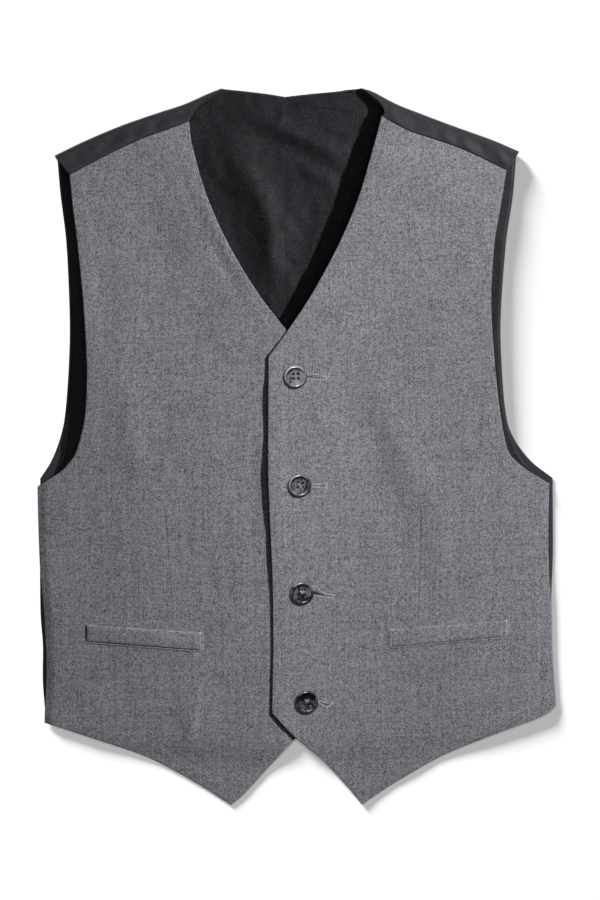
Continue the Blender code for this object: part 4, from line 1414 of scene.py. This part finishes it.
# How each button is turned, how smoky its horn is, and how much paler it grows towards a heading
ButtonLook = namedtuple("ButtonLook", "turn smoke paler heading")
BUTTON_LOOKS = (
    ButtonLook(3.0, 0.12, 0.3, 115.0),
    ButtonLook(-4.0, 0.5, 0.4, 165.0),
    ButtonLook(6.0, 0.82, 0.15, 80.0),
    ButtonLook(-3.0, 1.0, 0.2, -80.0),
)


def placed_button(number):
    """The placing of a button on the left front, turned about its own axis."""
    height = upper_surface(bpy.data.objects["front_cloth_left"])
    look = BUTTON_LOOKS[number - 1]
    seat = button_seat(BUTTON_CENTRES[number - 1], height)
    return seat @ Matrix.Rotation(math.radians(look.turn), 4, "Z")


def horn_buttons():
    """The four buttons, all of one pattern, each darker than the one above it."""
    pattern = turned_button()
    for number, look in enumerate(BUTTON_LOOKS, start=1):
        mesh = pattern.copy()
        places = np.empty(len(mesh.vertices) * 3)
        mesh.vertices.foreach_get("co", places)
        heading = math.radians(look.heading - look.turn)
        towards = places.reshape(-1, 3)[:, :2] @ (math.cos(heading), math.sin(heading))
        towards = towards / MM / BUTTON_SPAN * 2.0
        smoke = mesh.attributes.new("smoke", "FLOAT", "POINT")
        smoke.data.foreach_set("value", (look.smoke - look.paler * towards).astype(np.float32))
        mesh.transform(placed_button(number))
        piece = linked(f"horn_button_{number}", mesh)
        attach(piece, BODY)
        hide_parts(f"button_{number}")


# Wound thread between each button and the cloth
SHANK_RADIUS = 3.4
SHANK_HEIGHT = 0.2
SHANK_SINK = 0.6  # of its height, how far its middle lies below the button
SHANK_SIDES = 24

# Threads of each button: where each bundle starts and ends, in half hole spacings, its strands, and whether
# it ends loose on the face
Bundle = namedtuple("Bundle", "start end strands loose")
BUTTON_SEWING = (
    (),
    (Bundle((-1.0, 1.0), (1.5, -2.1), 2, True),),
    (Bundle((-1.0, -1.0), (1.0, 1.0), 3, False), Bundle((1.0, -1.0), (-1.0, 1.0), 3, False)),
    (Bundle((-1.0, -1.0), (1.0, 1.0), 2, False), Bundle((1.0, -1.0), (-1.0, 1.0), 2, False)),
)
STRAND_STEPS = 14
STRAND_SINK = 1.1  # how deep in its hole a strand begins
STRAND_ARCH = 0.2  # how far it stands off the face
STRAND_BEND = 0.35  # how steeply it comes out of the hole; less is steeper
STRAND_GATHER = 0.55  # share of the spacing of the strands that is left in the hole


def button_threads():
    """Threads that cross between the holes of the buttons and go down through them."""
    size = button_sizes()
    half = size.hole_spacing / MM / 2
    radius = size.thread_radius / MM
    dish = BUTTON_OUTLINE[0][1]
    curve = bpy.data.curves.new("button_threads", "CURVE")
    curve.dimensions = "3D"
    curve.bevel_depth = radius * MM
    curve.bevel_resolution = 2
    curve.use_fill_caps = True
    for number, sewing in enumerate(BUTTON_SEWING, start=1):
        placing = placed_button(number) @ Matrix.Translation(Vector((*HOLES_SHIFT, 0.0)) * MM)
        for layer, bundle in enumerate(sewing):
            near = Vector((*bundle.start, 0.0)) * half
            far = Vector((*bundle.end, 0.0)) * half
            along = (far - near).normalized()
            beside = Vector((-along.y, along.x, 0.0))
            for strand in range(bundle.strands):
                offset = beside * (strand - (bundle.strands - 1) / 2) * 2.0 * radius
                spline = curve.splines.new("POLY")
                spline.points.add(STRAND_STEPS)
                for step, point in enumerate(spline.points):
                    share = step / STRAND_STEPS
                    arch = math.sin(math.pi * share * (0.5 if bundle.loose else 1.0))
                    spread = STRAND_GATHER + (1.0 - STRAND_GATHER) * arch
                    spot = near.lerp(far, share) + offset * spread
                    rise = STRAND_SINK + radius + STRAND_ARCH * arch + 2.0 * radius * layer
                    spot.z = dish - STRAND_SINK + rise * arch**STRAND_BEND
                    placed = placing @ (spot * MM)
                    point.co = (*placed, 1.0)
    mesh = mesh_made_by(linked("button_threads_curve", curve))
    whole = bmesh.new()
    whole.from_mesh(mesh)
    for number in range(1, len(BUTTON_SEWING) + 1):
        bmesh.ops.create_cone(
            whole,
            cap_ends=True,
            segments=SHANK_SIDES,
            radius1=SHANK_RADIUS * MM,
            radius2=SHANK_RADIUS * MM,
            depth=SHANK_HEIGHT * MM,
            matrix=placed_button(number) @ Matrix.Translation((0.0, 0.0, -SHANK_SINK * SHANK_HEIGHT * MM)),
        )
    whole.to_mesh(mesh)
    whole.free()
    mesh.name = "button_threads"
    mesh.shade_smooth()
    mesh.materials.clear()
    mesh.materials.append(finish_of("grey_thread"))
    piece = linked("button_threads", mesh)
    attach(piece, BODY)


# Finishes


def feed(tree, socket, value):
    """Gives a socket a value, or a link from another socket."""
    if isinstance(value, Amount):
        value = value.socket
    if isinstance(value, bpy.types.NodeSocket):
        tree.links.new(value, socket)
    else:
        socket.default_value = value


def add_node(tree, kind, settings=None, values=None):
    """A node of a tree: its settings go on first, then the values or links of its sockets."""
    node = tree.nodes.new(kind)
    for name, value in (settings or {}).items():
        setattr(node, name, value)
    for name, value in (values or {}).items():
        feed(tree, node.inputs[name], value)
    return node


class Amount:
    """A number socket of a material, so that sums written on it add Math nodes."""

    def __init__(self, tree, socket):
        self.tree = tree
        self.socket = socket

    def math(self, operation, *values):
        node = add_node(self.tree, "ShaderNodeMath", {"operation": operation}, dict(enumerate(values)))
        return Amount(self.tree, node.outputs[0])

    def __add__(self, other):
        return self.math("ADD", self, other)

    def __radd__(self, other):
        return self.math("ADD", other, self)

    def __sub__(self, other):
        return self.math("SUBTRACT", self, other)

    def __mul__(self, other):
        return self.math("MULTIPLY", self, other)

    def sine(self):
        return self.math("SINE", self)

    def clamped(self):
        return self.math("MINIMUM", self.math("MAXIMUM", self, 0.0), 1.0)


class Finish:
    """One material on the Principled shader."""

    def __init__(self, name):
        self.material = bpy.data.materials.new(name)
        self.material.use_nodes = True
        self.tree = self.material.node_tree
        self.shader = self.tree.nodes["Principled BSDF"]
        self.place = add_node(self.tree, "ShaderNodeTexCoord").outputs["Object"]

    def set(self, values):
        """Values or links for sockets of the shader, by their names."""
        for name, value in values.items():
            feed(self.tree, self.shader.inputs[name], value)

    def node(self, kind, settings=None, values=None):
        return add_node(self.tree, kind, settings, values)

    def stretched(self, scale):
        """The place, scaled along X, Y and Z."""
        return self.node("ShaderNodeMapping", {}, {"Vector": self.place, "Scale": scale}).outputs[0]

    def noise(self, size, detail, roughness, distortion=0.0):
        """Noise whose grains are about so many millimetres along X, Y and Z."""
        values = {
            "Vector": self.stretched(tuple(1.0 / (length * MM) for length in size)),
            "Scale": 1.0,
            "Detail": detail,
            "Roughness": roughness,
            "Distortion": distortion,
        }
        return Amount(self.tree, self.node("ShaderNodeTexNoise", {}, values).outputs[0])

    def flecks(self, size):
        """A chance tone for each of many small uneven patches, about so many millimetres along X and Y."""
        place = self.stretched((*(1.0 / (length * MM) for length in size), 0.0))
        settings = {"voronoi_dimensions": "2D", "feature": "F1"}
        patch = self.node("ShaderNodeTexVoronoi", settings, {"Vector": place, "Scale": 1.0})
        red = self.node("ShaderNodeSeparateColor", {}, {"Color": patch.outputs["Color"]})
        return Amount(self.tree, red.outputs[0])

    def axes(self):
        """The place along X, Y and Z, as numbers in metres."""
        outputs = self.node("ShaderNodeSeparateXYZ", {}, {"Vector": self.place}).outputs
        return [Amount(self.tree, output) for output in outputs]

    def blend(self, share, first, second):
        """A colour between two, at a share from 0 to 1."""
        values = {0: share, 6: (*first, 1.0), 7: (*second, 1.0)}
        return self.node("ShaderNodeMix", {"data_type": "RGBA", "clamp_factor": True}, values).outputs[2]

    def mottled(self, tone, colour, spread):
        """Colours the cloth by a tone that runs from a darker to a lighter shade of a colour."""
        darker = tuple(part * (1.0 - spread) for part in colour)
        lighter = tuple(part * (1.0 + spread) for part in colour)
        self.set({"Base Color": self.blend(tone.clamped(), darker, lighter)})

    def relief(self, height, distance, strength):
        """Bends the shading by a height of 0 to 1 that stands for so many millimetres."""
        values = {"Height": height, "Distance": distance * MM, "Strength": strength}
        self.set({"Normal": self.node("ShaderNodeBump", {}, values).outputs[0]})


def grey_worsted():
    """Fine heathered suiting: uneven warp and weft threads, a soft nap and a plain weave."""
    sizes = cloth_sizes()
    finish = Finish("grey_worsted")
    warp = finish.noise((0.85, 34.0, 8.0), 2.0, 0.5)
    weft = finish.noise((30.0, 0.85, 8.0), 2.0, 0.5)
    heather = finish.noise((0.45, 1.1, 0.8), 0.0, 0.5) + finish.noise((1.1, 0.45, 0.8), 0.0, 0.5) - 0.5
    fibres = finish.flecks((0.6, 0.6))
    yarns = finish.flecks((0.5, 1.9)) + finish.flecks((1.9, 0.5))
    cloud = finish.noise((26.0, 34.0, 20.0), 3.0, 0.55)
    tone = 0.5 + (warp - 0.5) * 0.5 + (weft - 0.5) * 0.36 + (heather - 0.5) * 0.36
    tone = tone + (fibres - 0.5) * 0.72 + (yarns - 1.0) * 0.12 + (cloud - 0.5) * 0.08
    finish.mottled(tone, sizes.wool_colour, 0.75)
    x, y, _ = finish.axes()
    turns = 2.0 * math.pi / sizes.thread_spacing
    weave = (x * turns + (weft - 0.5) * 3.0).sine() * (y * turns + (warp - 0.5) * 3.0).sine()
    finish.relief(0.5 + weave * 0.12 + (heather - 0.5) * 0.12 + (fibres - 0.5) * 0.05, 0.06, 0.5)
    finish.set({"Roughness": 0.86, "Sheen Weight": 0.12, "Sheen Roughness": 0.5, "Specular IOR Level": 0.25})
    return finish.material


def black_satin():
    """Acetate satin: close warp threads that shine along the folds."""
    sizes = cloth_sizes()
    finish = Finish("black_satin")
    warp = finish.noise((0.35, 9.0, 4.0), 2.0, 0.5)
    cloud = finish.noise((14.0, 22.0, 12.0), 3.0, 0.6)
    fibres = finish.flecks((0.55, 0.55))
    tone = 0.5 + (warp - 0.5) * 0.7 + (cloud - 0.5) * 0.5 + (fibres - 0.5) * 0.6
    finish.mottled(tone, sizes.satin_colour, 0.5)
    finish.relief(warp * 0.6 + cloud * 3.0, 0.05, 0.7)
    finish.set({"Roughness": (0.6 + (cloud - 0.5) * 0.2).clamped(), "Specular IOR Level": 0.3})
    finish.set({"Anisotropic": 0.3, "Sheen Weight": 0.08})
    return finish.material


TWILL_STEP = 0.9  # along X or Y, between two ribs


def black_lining():
    """Thin twill lining with a dull sheen."""
    sizes = cloth_sizes()
    finish = Finish("black_lining")
    x, y, _ = finish.axes()
    thread = finish.noise((0.5, 6.0, 4.0), 2.0, 0.5)
    cloud = finish.noise((12.0, 16.0, 8.0), 3.0, 0.6)
    twill = ((x + y) * (2.0 * math.pi / (TWILL_STEP * MM))).sine()
    fibres = finish.flecks((0.55, 0.55))
    tone = 0.5 + (thread - 0.5) * 0.5 + (cloud - 0.5) * 0.3 + (fibres - 0.5) * 1.2
    finish.mottled(tone, sizes.lining_colour, 0.7)
    finish.relief(0.5 + twill * 0.15 + thread * 0.4 + cloud * 3.0, 0.05, 0.7)
    finish.set({"Roughness": (0.62 + (cloud - 0.5) * 0.2).clamped(), "Specular IOR Level": 0.18})
    return finish.material


def smoke_horn():
    """Polished horn with grey clouds and dark streaks; the smoke attribute says how dark a button is."""
    sizes = button_sizes()
    finish = Finish("smoke_horn")
    attribute = finish.node("ShaderNodeAttribute", {"attribute_name": "smoke"})
    smoke = Amount(finish.tree, attribute.outputs["Fac"])
    cloud = finish.noise((5.0, 7.0, 5.0), 3.0, 0.6, 1.2)
    streak = finish.noise((1.2, 5.0, 2.0), 3.0, 0.6, 0.8)
    share = ((cloud - 0.42) * 3.4 + (streak - 0.5) * 1.2 + 0.75 - smoke * 0.95).clamped()
    horn = finish.blend(share, tuple(sizes.dark_horn), tuple(sizes.pale_horn))
    finish.set({"Base Color": horn, "Roughness": (0.2 + streak * 0.16).clamped()})
    finish.relief(streak, 0.015, 0.5)
    finish.set({"Coat Weight": 0.35, "Coat Roughness": 0.08, "Specular IOR Level": 0.6})
    return finish.material


def grey_thread():
    """Twisted cotton thread, lighter than the wool."""
    sizes = sewing_sizes()
    finish = Finish("grey_thread")
    strand = finish.noise((0.3, 0.3, 0.3), 2.0, 0.6)
    finish.mottled(strand * 1.6 - 0.3, sizes.thread_colour, 0.35)
    finish.relief(strand, 0.05, 0.6)
    finish.set({"Roughness": 0.7, "Sheen Weight": 0.2})
    return finish.material


def slit_shade():
    """Painted shade for the inside of a buttonhole, with the ends of the threads just seen."""
    finish = Finish("slit_shade")
    fibre = finish.noise((0.5, 0.2, 0.5), 2.0, 0.6)
    painted_shade = finish.blend(fibre, (0.006, 0.006, 0.008), (0.03, 0.03, 0.035))
    finish.set({"Base Color": painted_shade, "Roughness": 0.95})
    return finish.material


def pale_table():
    """Matt white board."""
    finish = Finish("pale_table")
    grain = finish.noise((60.0, 60.0, 60.0), 2.0, 0.5)
    white = finish.blend(grain, (0.9, 0.9, 0.9), (0.94, 0.94, 0.94))
    finish.set({"Base Color": white, "Roughness": 0.9})
    return finish.material


FINISHES = {
    "grey_worsted": grey_worsted,
    "black_satin": black_satin,
    "black_lining": black_lining,
    "smoke_horn": smoke_horn,
    "grey_thread": grey_thread,
    "slit_shade": slit_shade,
    "pale_table": pale_table,
}


def finish_of(name):
    """A finish by its name, made when it is first asked for."""
    return bpy.data.materials.get(name) or FINISHES[name]()


# Table, lights and camera

FRAME_CENTRE = (2.24, -2.18)  # where the camera stands over the table
FRAME_HEIGHT = 612.0  # of the table that the camera takes in
CAMERA_HEIGHT = 3000.0
SEEN_UP_TO = 20000.0
FILM = 36.0
TABLE_DROP = 0.2
TABLE_SIZE = 6000.0

# A light: where it stands in metres, its power in watts, its size in metres, the groups that it lights and
# those that throw its shadows. All point at the middle of the table, but one with a length is a strip that
# points straight down. Of a sun the place only gives the direction, the power is a strength, and the size is
# an angle in degrees
Lamp = namedtuple("Lamp", "name kind place power size lights shaded_by length", defaults=(0.0,))
KEY_PLACE = (1.04, 0.42, 0.69)
LOW_KEY_PLACE = (0.9, 0.34, 0.44)
HIGH_KEY_PLACE = (0.62, 0.41, 0.95)
FAR_KEY_PLACE = (1.8, 0.7, 1.2)
CLOSURE_PLACE = (0.006, -0.05, 0.055)
ARMHOLE_PLACE = (-0.152, 0.03, 0.055)
HARD = 0.03
STRIP_WIDTH = 0.03
STRIP_LENGTH = 0.34
CLOTH = ("lap", "cloth", "lining", "satin")
TABLE = ("table",)
ALL = (*CLOTH, "buttons", *TABLE)
ON_THE_LAP = ("front_cloth_left", "welt_cloth_left", "buttonhole_stitches")
WELTS = ("welt_cloth_left", "welt_cloth_right")


def lamps():
    """All lights. Those on the cloth and on the table are kept apart, so that either can be set alone."""
    size = bpy.context.scene.waistcoat_stage
    return (
        Lamp("key", "POINT", KEY_PLACE, size.key_power, HARD, ("cloth",), CLOTH),
        Lamp("lining_key", "POINT", LOW_KEY_PLACE, size.lining_key_power, HARD, ("lining",), CLOTH),
        Lamp("satin_key", "POINT", FAR_KEY_PLACE, size.satin_key_power, 2 * HARD, ("satin",), CLOTH),
        Lamp("satin_over", "AREA", (-0.3, 0.2, 1.2), size.satin_over_power, 0.6, ("satin",), CLOTH),
        Lamp("lap_key", "POINT", HIGH_KEY_PLACE, size.lap_key_power, HARD, ("lap",), ALL),
        Lamp("fill", "AREA", (0.5, 0.35, 1.0), size.fill_power, 0.8, CLOTH, ALL),
        Lamp("top", "AREA", (-0.12, 0.9, 0.75), size.top_power, 0.3, CLOTH, ALL),
        Lamp("horn_light", "AREA", (-0.2, 0.74, 0.46), size.horn_power, 0.3, ("buttons",), ALL),
        strip_lamp("closure_light", CLOSURE_PLACE, size.closure_power, "lap"),
        strip_lamp("armhole_light", ARMHOLE_PLACE, size.armhole_power, "lining"),
        Lamp("welt_light", "AREA", (0.05, 0.7, 0.05), size.welt_power, 0.05, ("welts",), TABLE),
        Lamp("table_slant", "SUN", (-0.54, 0.74, 0.235), size.table_slant, 16.0, TABLE, ALL),
        Lamp("table_over", "SUN", (0.0, 0.0, 1.0), size.table_over, 60.0, TABLE, ALL),
    )


def strip_lamp(name, place, power, lit):
    """A strip close over the cloth that lights one group and throws no shadow of it."""
    return Lamp(name, "AREA", place, power, STRIP_WIDTH, (lit,), TABLE, STRIP_LENGTH)


def light_group(thing):
    """The name of the group of lit pieces that a mesh belongs to."""
    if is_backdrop(thing):
        return "table"
    if thing.name.startswith(("horn_button", "button_threads")):
        return "buttons"
    if thing.name.startswith("lining_cloth"):
        return "lining"
    if thing.name.startswith("back_cloth"):
        return "satin"
    return "lap" if thing.name in ON_THE_LAP else "cloth"


def grouped(name, groups):
    """A collection of the pieces of some groups, for the light linking."""
    members = bpy.data.collections.new(name)
    for thing in bpy.context.scene.objects:
        if thing.type != "MESH":
            continue
        if light_group(thing) in groups or ("welts" in groups and thing.name in WELTS):
            members.objects.link(thing)
    return members


def light_stage():
    """The lights, each with the pieces that it lights and those that shade them."""
    for lamp in lamps():
        data = bpy.data.lights.new(lamp.name, lamp.kind)
        data.energy = lamp.power
        if lamp.kind == "AREA":
            data.size = lamp.size
            if lamp.length:
                data.shape = "RECTANGLE"
                data.size_y = lamp.length
        elif lamp.kind == "SUN":
            data.angle = math.radians(lamp.size)
        else:
            data.shadow_soft_size = lamp.size
        light = linked(lamp.name, data)
        light.location = lamp.place
        light.rotation_mode = "QUATERNION"
        if not lamp.length:
            light.rotation_quaternion = (-Vector(lamp.place)).to_track_quat("-Z", "Y")
        light.light_linking.receiver_collection = grouped(f"lit_by_{lamp.name}", lamp.lights)
        if lamp.shaded_by != ALL:
            light.light_linking.blocker_collection = grouped(f"shades_{lamp.name}", lamp.shaded_by)


def table_top():
    """The board that the waistcoat lies on, a hair below it."""
    board = bmesh.new()
    bmesh.ops.create_grid(board, x_segments=2, y_segments=2, size=TABLE_SIZE / 2 * MM)
    bmesh.ops.translate(board, verts=board.verts, vec=(0.0, 0.0, -TABLE_DROP * MM))
    mesh = mesh_of("pale_table", board)
    mesh.materials.append(finish_of("pale_table"))
    table = linked("pale_table", mesh)
    table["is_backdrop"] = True


def room_air():
    """Dim light from all round, and a white room behind the table for low views."""
    sizes = bpy.context.scene.waistcoat_stage
    world = bpy.data.worlds.new("studio")
    world.use_nodes = True
    tree = world.node_tree
    tree.nodes.clear()
    dim = add_node(tree, "ShaderNodeBackground", {}, {"Color": (1, 1, 1, 1), "Strength": sizes.air})
    white = add_node(tree, "ShaderNodeBackground", {}, {"Color": (1, 1, 1, 1), "Strength": 1.0})
    seen = add_node(tree, "ShaderNodeLightPath").outputs["Is Camera Ray"]
    mixed = add_node(tree, "ShaderNodeMixShader", {}, {0: seen, 1: dim.outputs[0], 2: white.outputs[0]})
    add_node(tree, "ShaderNodeOutputWorld", {}, {"Surface": mixed.outputs[0]})
    bpy.context.scene.world = world


def overhead_camera():
    """The camera straight above the waistcoat."""
    data = bpy.data.cameras.new("overhead")
    data.sensor_width = FILM
    data.lens = FILM * CAMERA_HEIGHT / FRAME_HEIGHT
    data.clip_end = SEEN_UP_TO * MM
    camera = linked("overhead", data)
    camera.location = (FRAME_CENTRE[0] * MM, FRAME_CENTRE[1] * MM, CAMERA_HEIGHT * MM)
    bpy.context.scene.camera = camera


# Settings


def length_setting(name, description, default, low, high):
    return FloatProperty(
        name=name,
        description=description,
        default=default,
        min=low,
        max=high,
        unit="LENGTH",
        precision=5,
    )


def colour_setting(name, description, default):
    return FloatVectorProperty(
        name=name,
        description=description,
        default=default,
        min=0.0,
        max=1.0,
        size=3,
        subtype="COLOR",
    )


def number_setting(name, description, default, high):
    return FloatProperty(name=name, description=description, default=default, min=0.0, max=high)


def power_setting(name, description, default):
    return number_setting(name, description, default, 500.0)


class WaistcoatCloth(bpy.types.PropertyGroup):
    edge_radius: length_setting("Edge radius", "How round the turned edges are", 0.00045, 0.0002, 0.001)
    thread_spacing: length_setting("Weave", "Distance between two threads", 0.00062, 0.0003, 0.002)
    crease_depth: number_setting("Crease depth", "Strength of the creases; 1 is as modelled", 1.0, 1.5)
    wool_colour: colour_setting("Wool", "Mean colour of the worsted", (0.158, 0.155, 0.174))
    satin_colour: colour_setting("Satin", "Mean colour of the back", (0.026, 0.025, 0.031))
    lining_colour: colour_setting("Lining", "Mean colour of the back's lining", (0.012, 0.0115, 0.0145))


class WaistcoatSewing(bpy.types.PropertyGroup):
    purl_spacing: length_setting("Purl spacing", "Distance between two stitches", 0.0016, 0.0003, 0.002)
    purl_length: length_setting("Purl length", "Length of a buttonhole stitch", 0.0017, 0.0005, 0.003)
    thread_colour: colour_setting("Thread", "Colour of the sewing thread", (0.4, 0.4, 0.43))


class WaistcoatButtons(bpy.types.PropertyGroup):
    span: length_setting("Button span", "Diameter of a button", 0.0154, 0.010, 0.020)
    hole_spacing: length_setting("Hole spacing", "Distance between the holes", 0.0031, 0.002, 0.004)
    hole_radius: length_setting("Hole radius", "Radius of a hole", 0.001, 0.0005, 0.0012)
    thread_radius: length_setting("Thread radius", "Radius of the sewing thread", 0.00021, 0.0001, 0.0004)
    pale_horn: colour_setting("Pale horn", "The lighter clouds of the horn", (0.3, 0.305, 0.32))
    dark_horn: colour_setting("Dark horn", "The darker ground of the horn", (0.012, 0.012, 0.014))


class WaistcoatStage(bpy.types.PropertyGroup):
    key_power: power_setting("Key", "Hard light from beyond the left shoulder, in watts", 130.0)
    lining_key_power: power_setting("Key on the lining", "Lower light into the neck, in watts", 94.0)
    satin_key_power: power_setting("Key on the back", "Hard light on the satin, in watts", 225.0)
    satin_over_power: power_setting("Soft light on the back", "Soft light on the satin, in watts", 2.0)
    lap_key_power: power_setting("Key on the lap", "Higher light on the left front, in watts", 66.5)
    closure_power: power_setting("Closure light", "Low strip along the buttons, in watts", 0.021)
    armhole_power: power_setting("Armhole light", "Low strip over the right armhole, in watts", 0.011)
    welt_power: power_setting("Welt light", "Low light on the welts' upper edges, in watts", 3.0)
    horn_power: power_setting("Button light", "Soft box that the buttons mirror, in watts", 12.0)
    fill_power: power_setting("Fill", "Soft light on the cloth, in watts", 1.5)
    top_power: power_setting("Top", "Soft box beyond the neck, in watts", 0.5)
    table_slant: power_setting("Table slant", "Strength of the low sun on the table", 8.5)
    table_over: power_setting("Table over", "Strength of the overhead sun on the table", 1.45)
    air: number_setting("Room light", "Brightness of the light from all round", 0.03, 1.0)


# Operators


class WAISTCOAT_OT_back_linings(bpy.types.Operator):
    """Make the lining of both halves of the back"""

    bl_idname = "waistcoat.back_linings"
    bl_label = "Back linings"

    def execute(self, context):
        for cut in (LEFT, RIGHT):
            lining_cloth(cut)
        return {"FINISHED"}


class WAISTCOAT_OT_backs(bpy.types.Operator):
    """Make both halves of the satin back, folded forward over the shoulders"""

    bl_idname = "waistcoat.backs"
    bl_label = "Backs"

    def execute(self, context):
        for cut in (LEFT, RIGHT):
            back_cloth(cut)
        return {"FINISHED"}


class WAISTCOAT_OT_fronts(bpy.types.Operator):
    """Make both worsted fronts with their darts, the left one lapped over the right"""

    bl_idname = "waistcoat.fronts"
    bl_label = "Fronts"

    def execute(self, context):
        for cut in (RIGHT, LEFT):
            front_cloth(cut)
        return {"FINISHED"}


class WAISTCOAT_OT_welts(bpy.types.Operator):
    """Make the welts of both pockets"""

    bl_idname = "waistcoat.welts"
    bl_label = "Pocket welts"

    def execute(self, context):
        for cut in (LEFT, RIGHT):
            welt_cloth(cut)
        return {"FINISHED"}


class WAISTCOAT_OT_welt_stitches(bpy.types.Operator):
    """Sew the ends of the pocket welts"""

    bl_idname = "waistcoat.welt_stitches"
    bl_label = "Welt stitches"

    def execute(self, context):
        welt_stitches()
        return {"FINISHED"}


class WAISTCOAT_OT_buttonholes(bpy.types.Operator):
    """Work the four buttonholes in purl stitch"""

    bl_idname = "waistcoat.buttonholes"
    bl_label = "Buttonholes"

    def execute(self, context):
        buttonholes()
        return {"FINISHED"}


class WAISTCOAT_OT_buttons(bpy.types.Operator):
    """Turn the four horn buttons and lay them on the left front"""

    bl_idname = "waistcoat.buttons"
    bl_label = "Buttons"

    def execute(self, context):
        horn_buttons()
        return {"FINISHED"}


class WAISTCOAT_OT_button_threads(bpy.types.Operator):
    """Sew the buttons on"""

    bl_idname = "waistcoat.button_threads"
    bl_label = "Button threads"

    def execute(self, context):
        button_threads()
        return {"FINISHED"}


class WAISTCOAT_OT_stage(bpy.types.Operator):
    """Set up the table, the lights and the overhead camera"""

    bl_idname = "waistcoat.stage"
    bl_label = "Stage"

    def execute(self, context):
        table_top()
        light_stage()
        room_air()
        overhead_camera()
        context.scene.view_settings.view_transform = "Standard"
        return {"FINISHED"}


class WAISTCOAT_PT_sidebar(bpy.types.Panel):
    """Sizes, colours and pieces of the waistcoat"""

    bl_idname = "WAISTCOAT_PT_sidebar"
    bl_label = "Suit waistcoat"
    bl_space_type = "VIEW_3D"
    bl_region_type = "UI"
    bl_category = SIDEBAR_TAB

    def draw(self, context):
        for name in SETTINGS:
            group = getattr(context.scene, name)
            box = self.layout.box()
            for setting in group.bl_rna.properties.keys():
                if setting not in ("rna_type", "name"):
                    box.prop(group, setting)
        for maker in MAKERS:
            self.layout.operator(maker.bl_idname)


SETTINGS = {
    "waistcoat_cloth": WaistcoatCloth,
    "waistcoat_sewing": WaistcoatSewing,
    "waistcoat_buttons": WaistcoatButtons,
    "waistcoat_stage": WaistcoatStage,
}
MAKERS = (
    WAISTCOAT_OT_back_linings,
    WAISTCOAT_OT_backs,
    WAISTCOAT_OT_fronts,
    WAISTCOAT_OT_welts,
    WAISTCOAT_OT_welt_stitches,
    WAISTCOAT_OT_buttonholes,
    WAISTCOAT_OT_buttons,
    WAISTCOAT_OT_button_threads,
    WAISTCOAT_OT_stage,
)


def register():
    for kind in (*SETTINGS.values(), *MAKERS, WAISTCOAT_PT_sidebar):
        bpy.utils.register_class(kind)
    for name, kind in SETTINGS.items():
        setattr(bpy.types.Scene, name, PointerProperty(type=kind))


def unregister():
    for name in SETTINGS:
        delattr(bpy.types.Scene, name)
    for kind in (WAISTCOAT_PT_sidebar, *reversed(MAKERS), *reversed(SETTINGS.values())):
        bpy.utils.unregister_class(kind)


def main():
    register()
    for maker in MAKERS:
        make = getattr(bpy.ops.waistcoat, maker.bl_idname.split(".")[1])
        make()


if __name__ == "__main__":
    main()
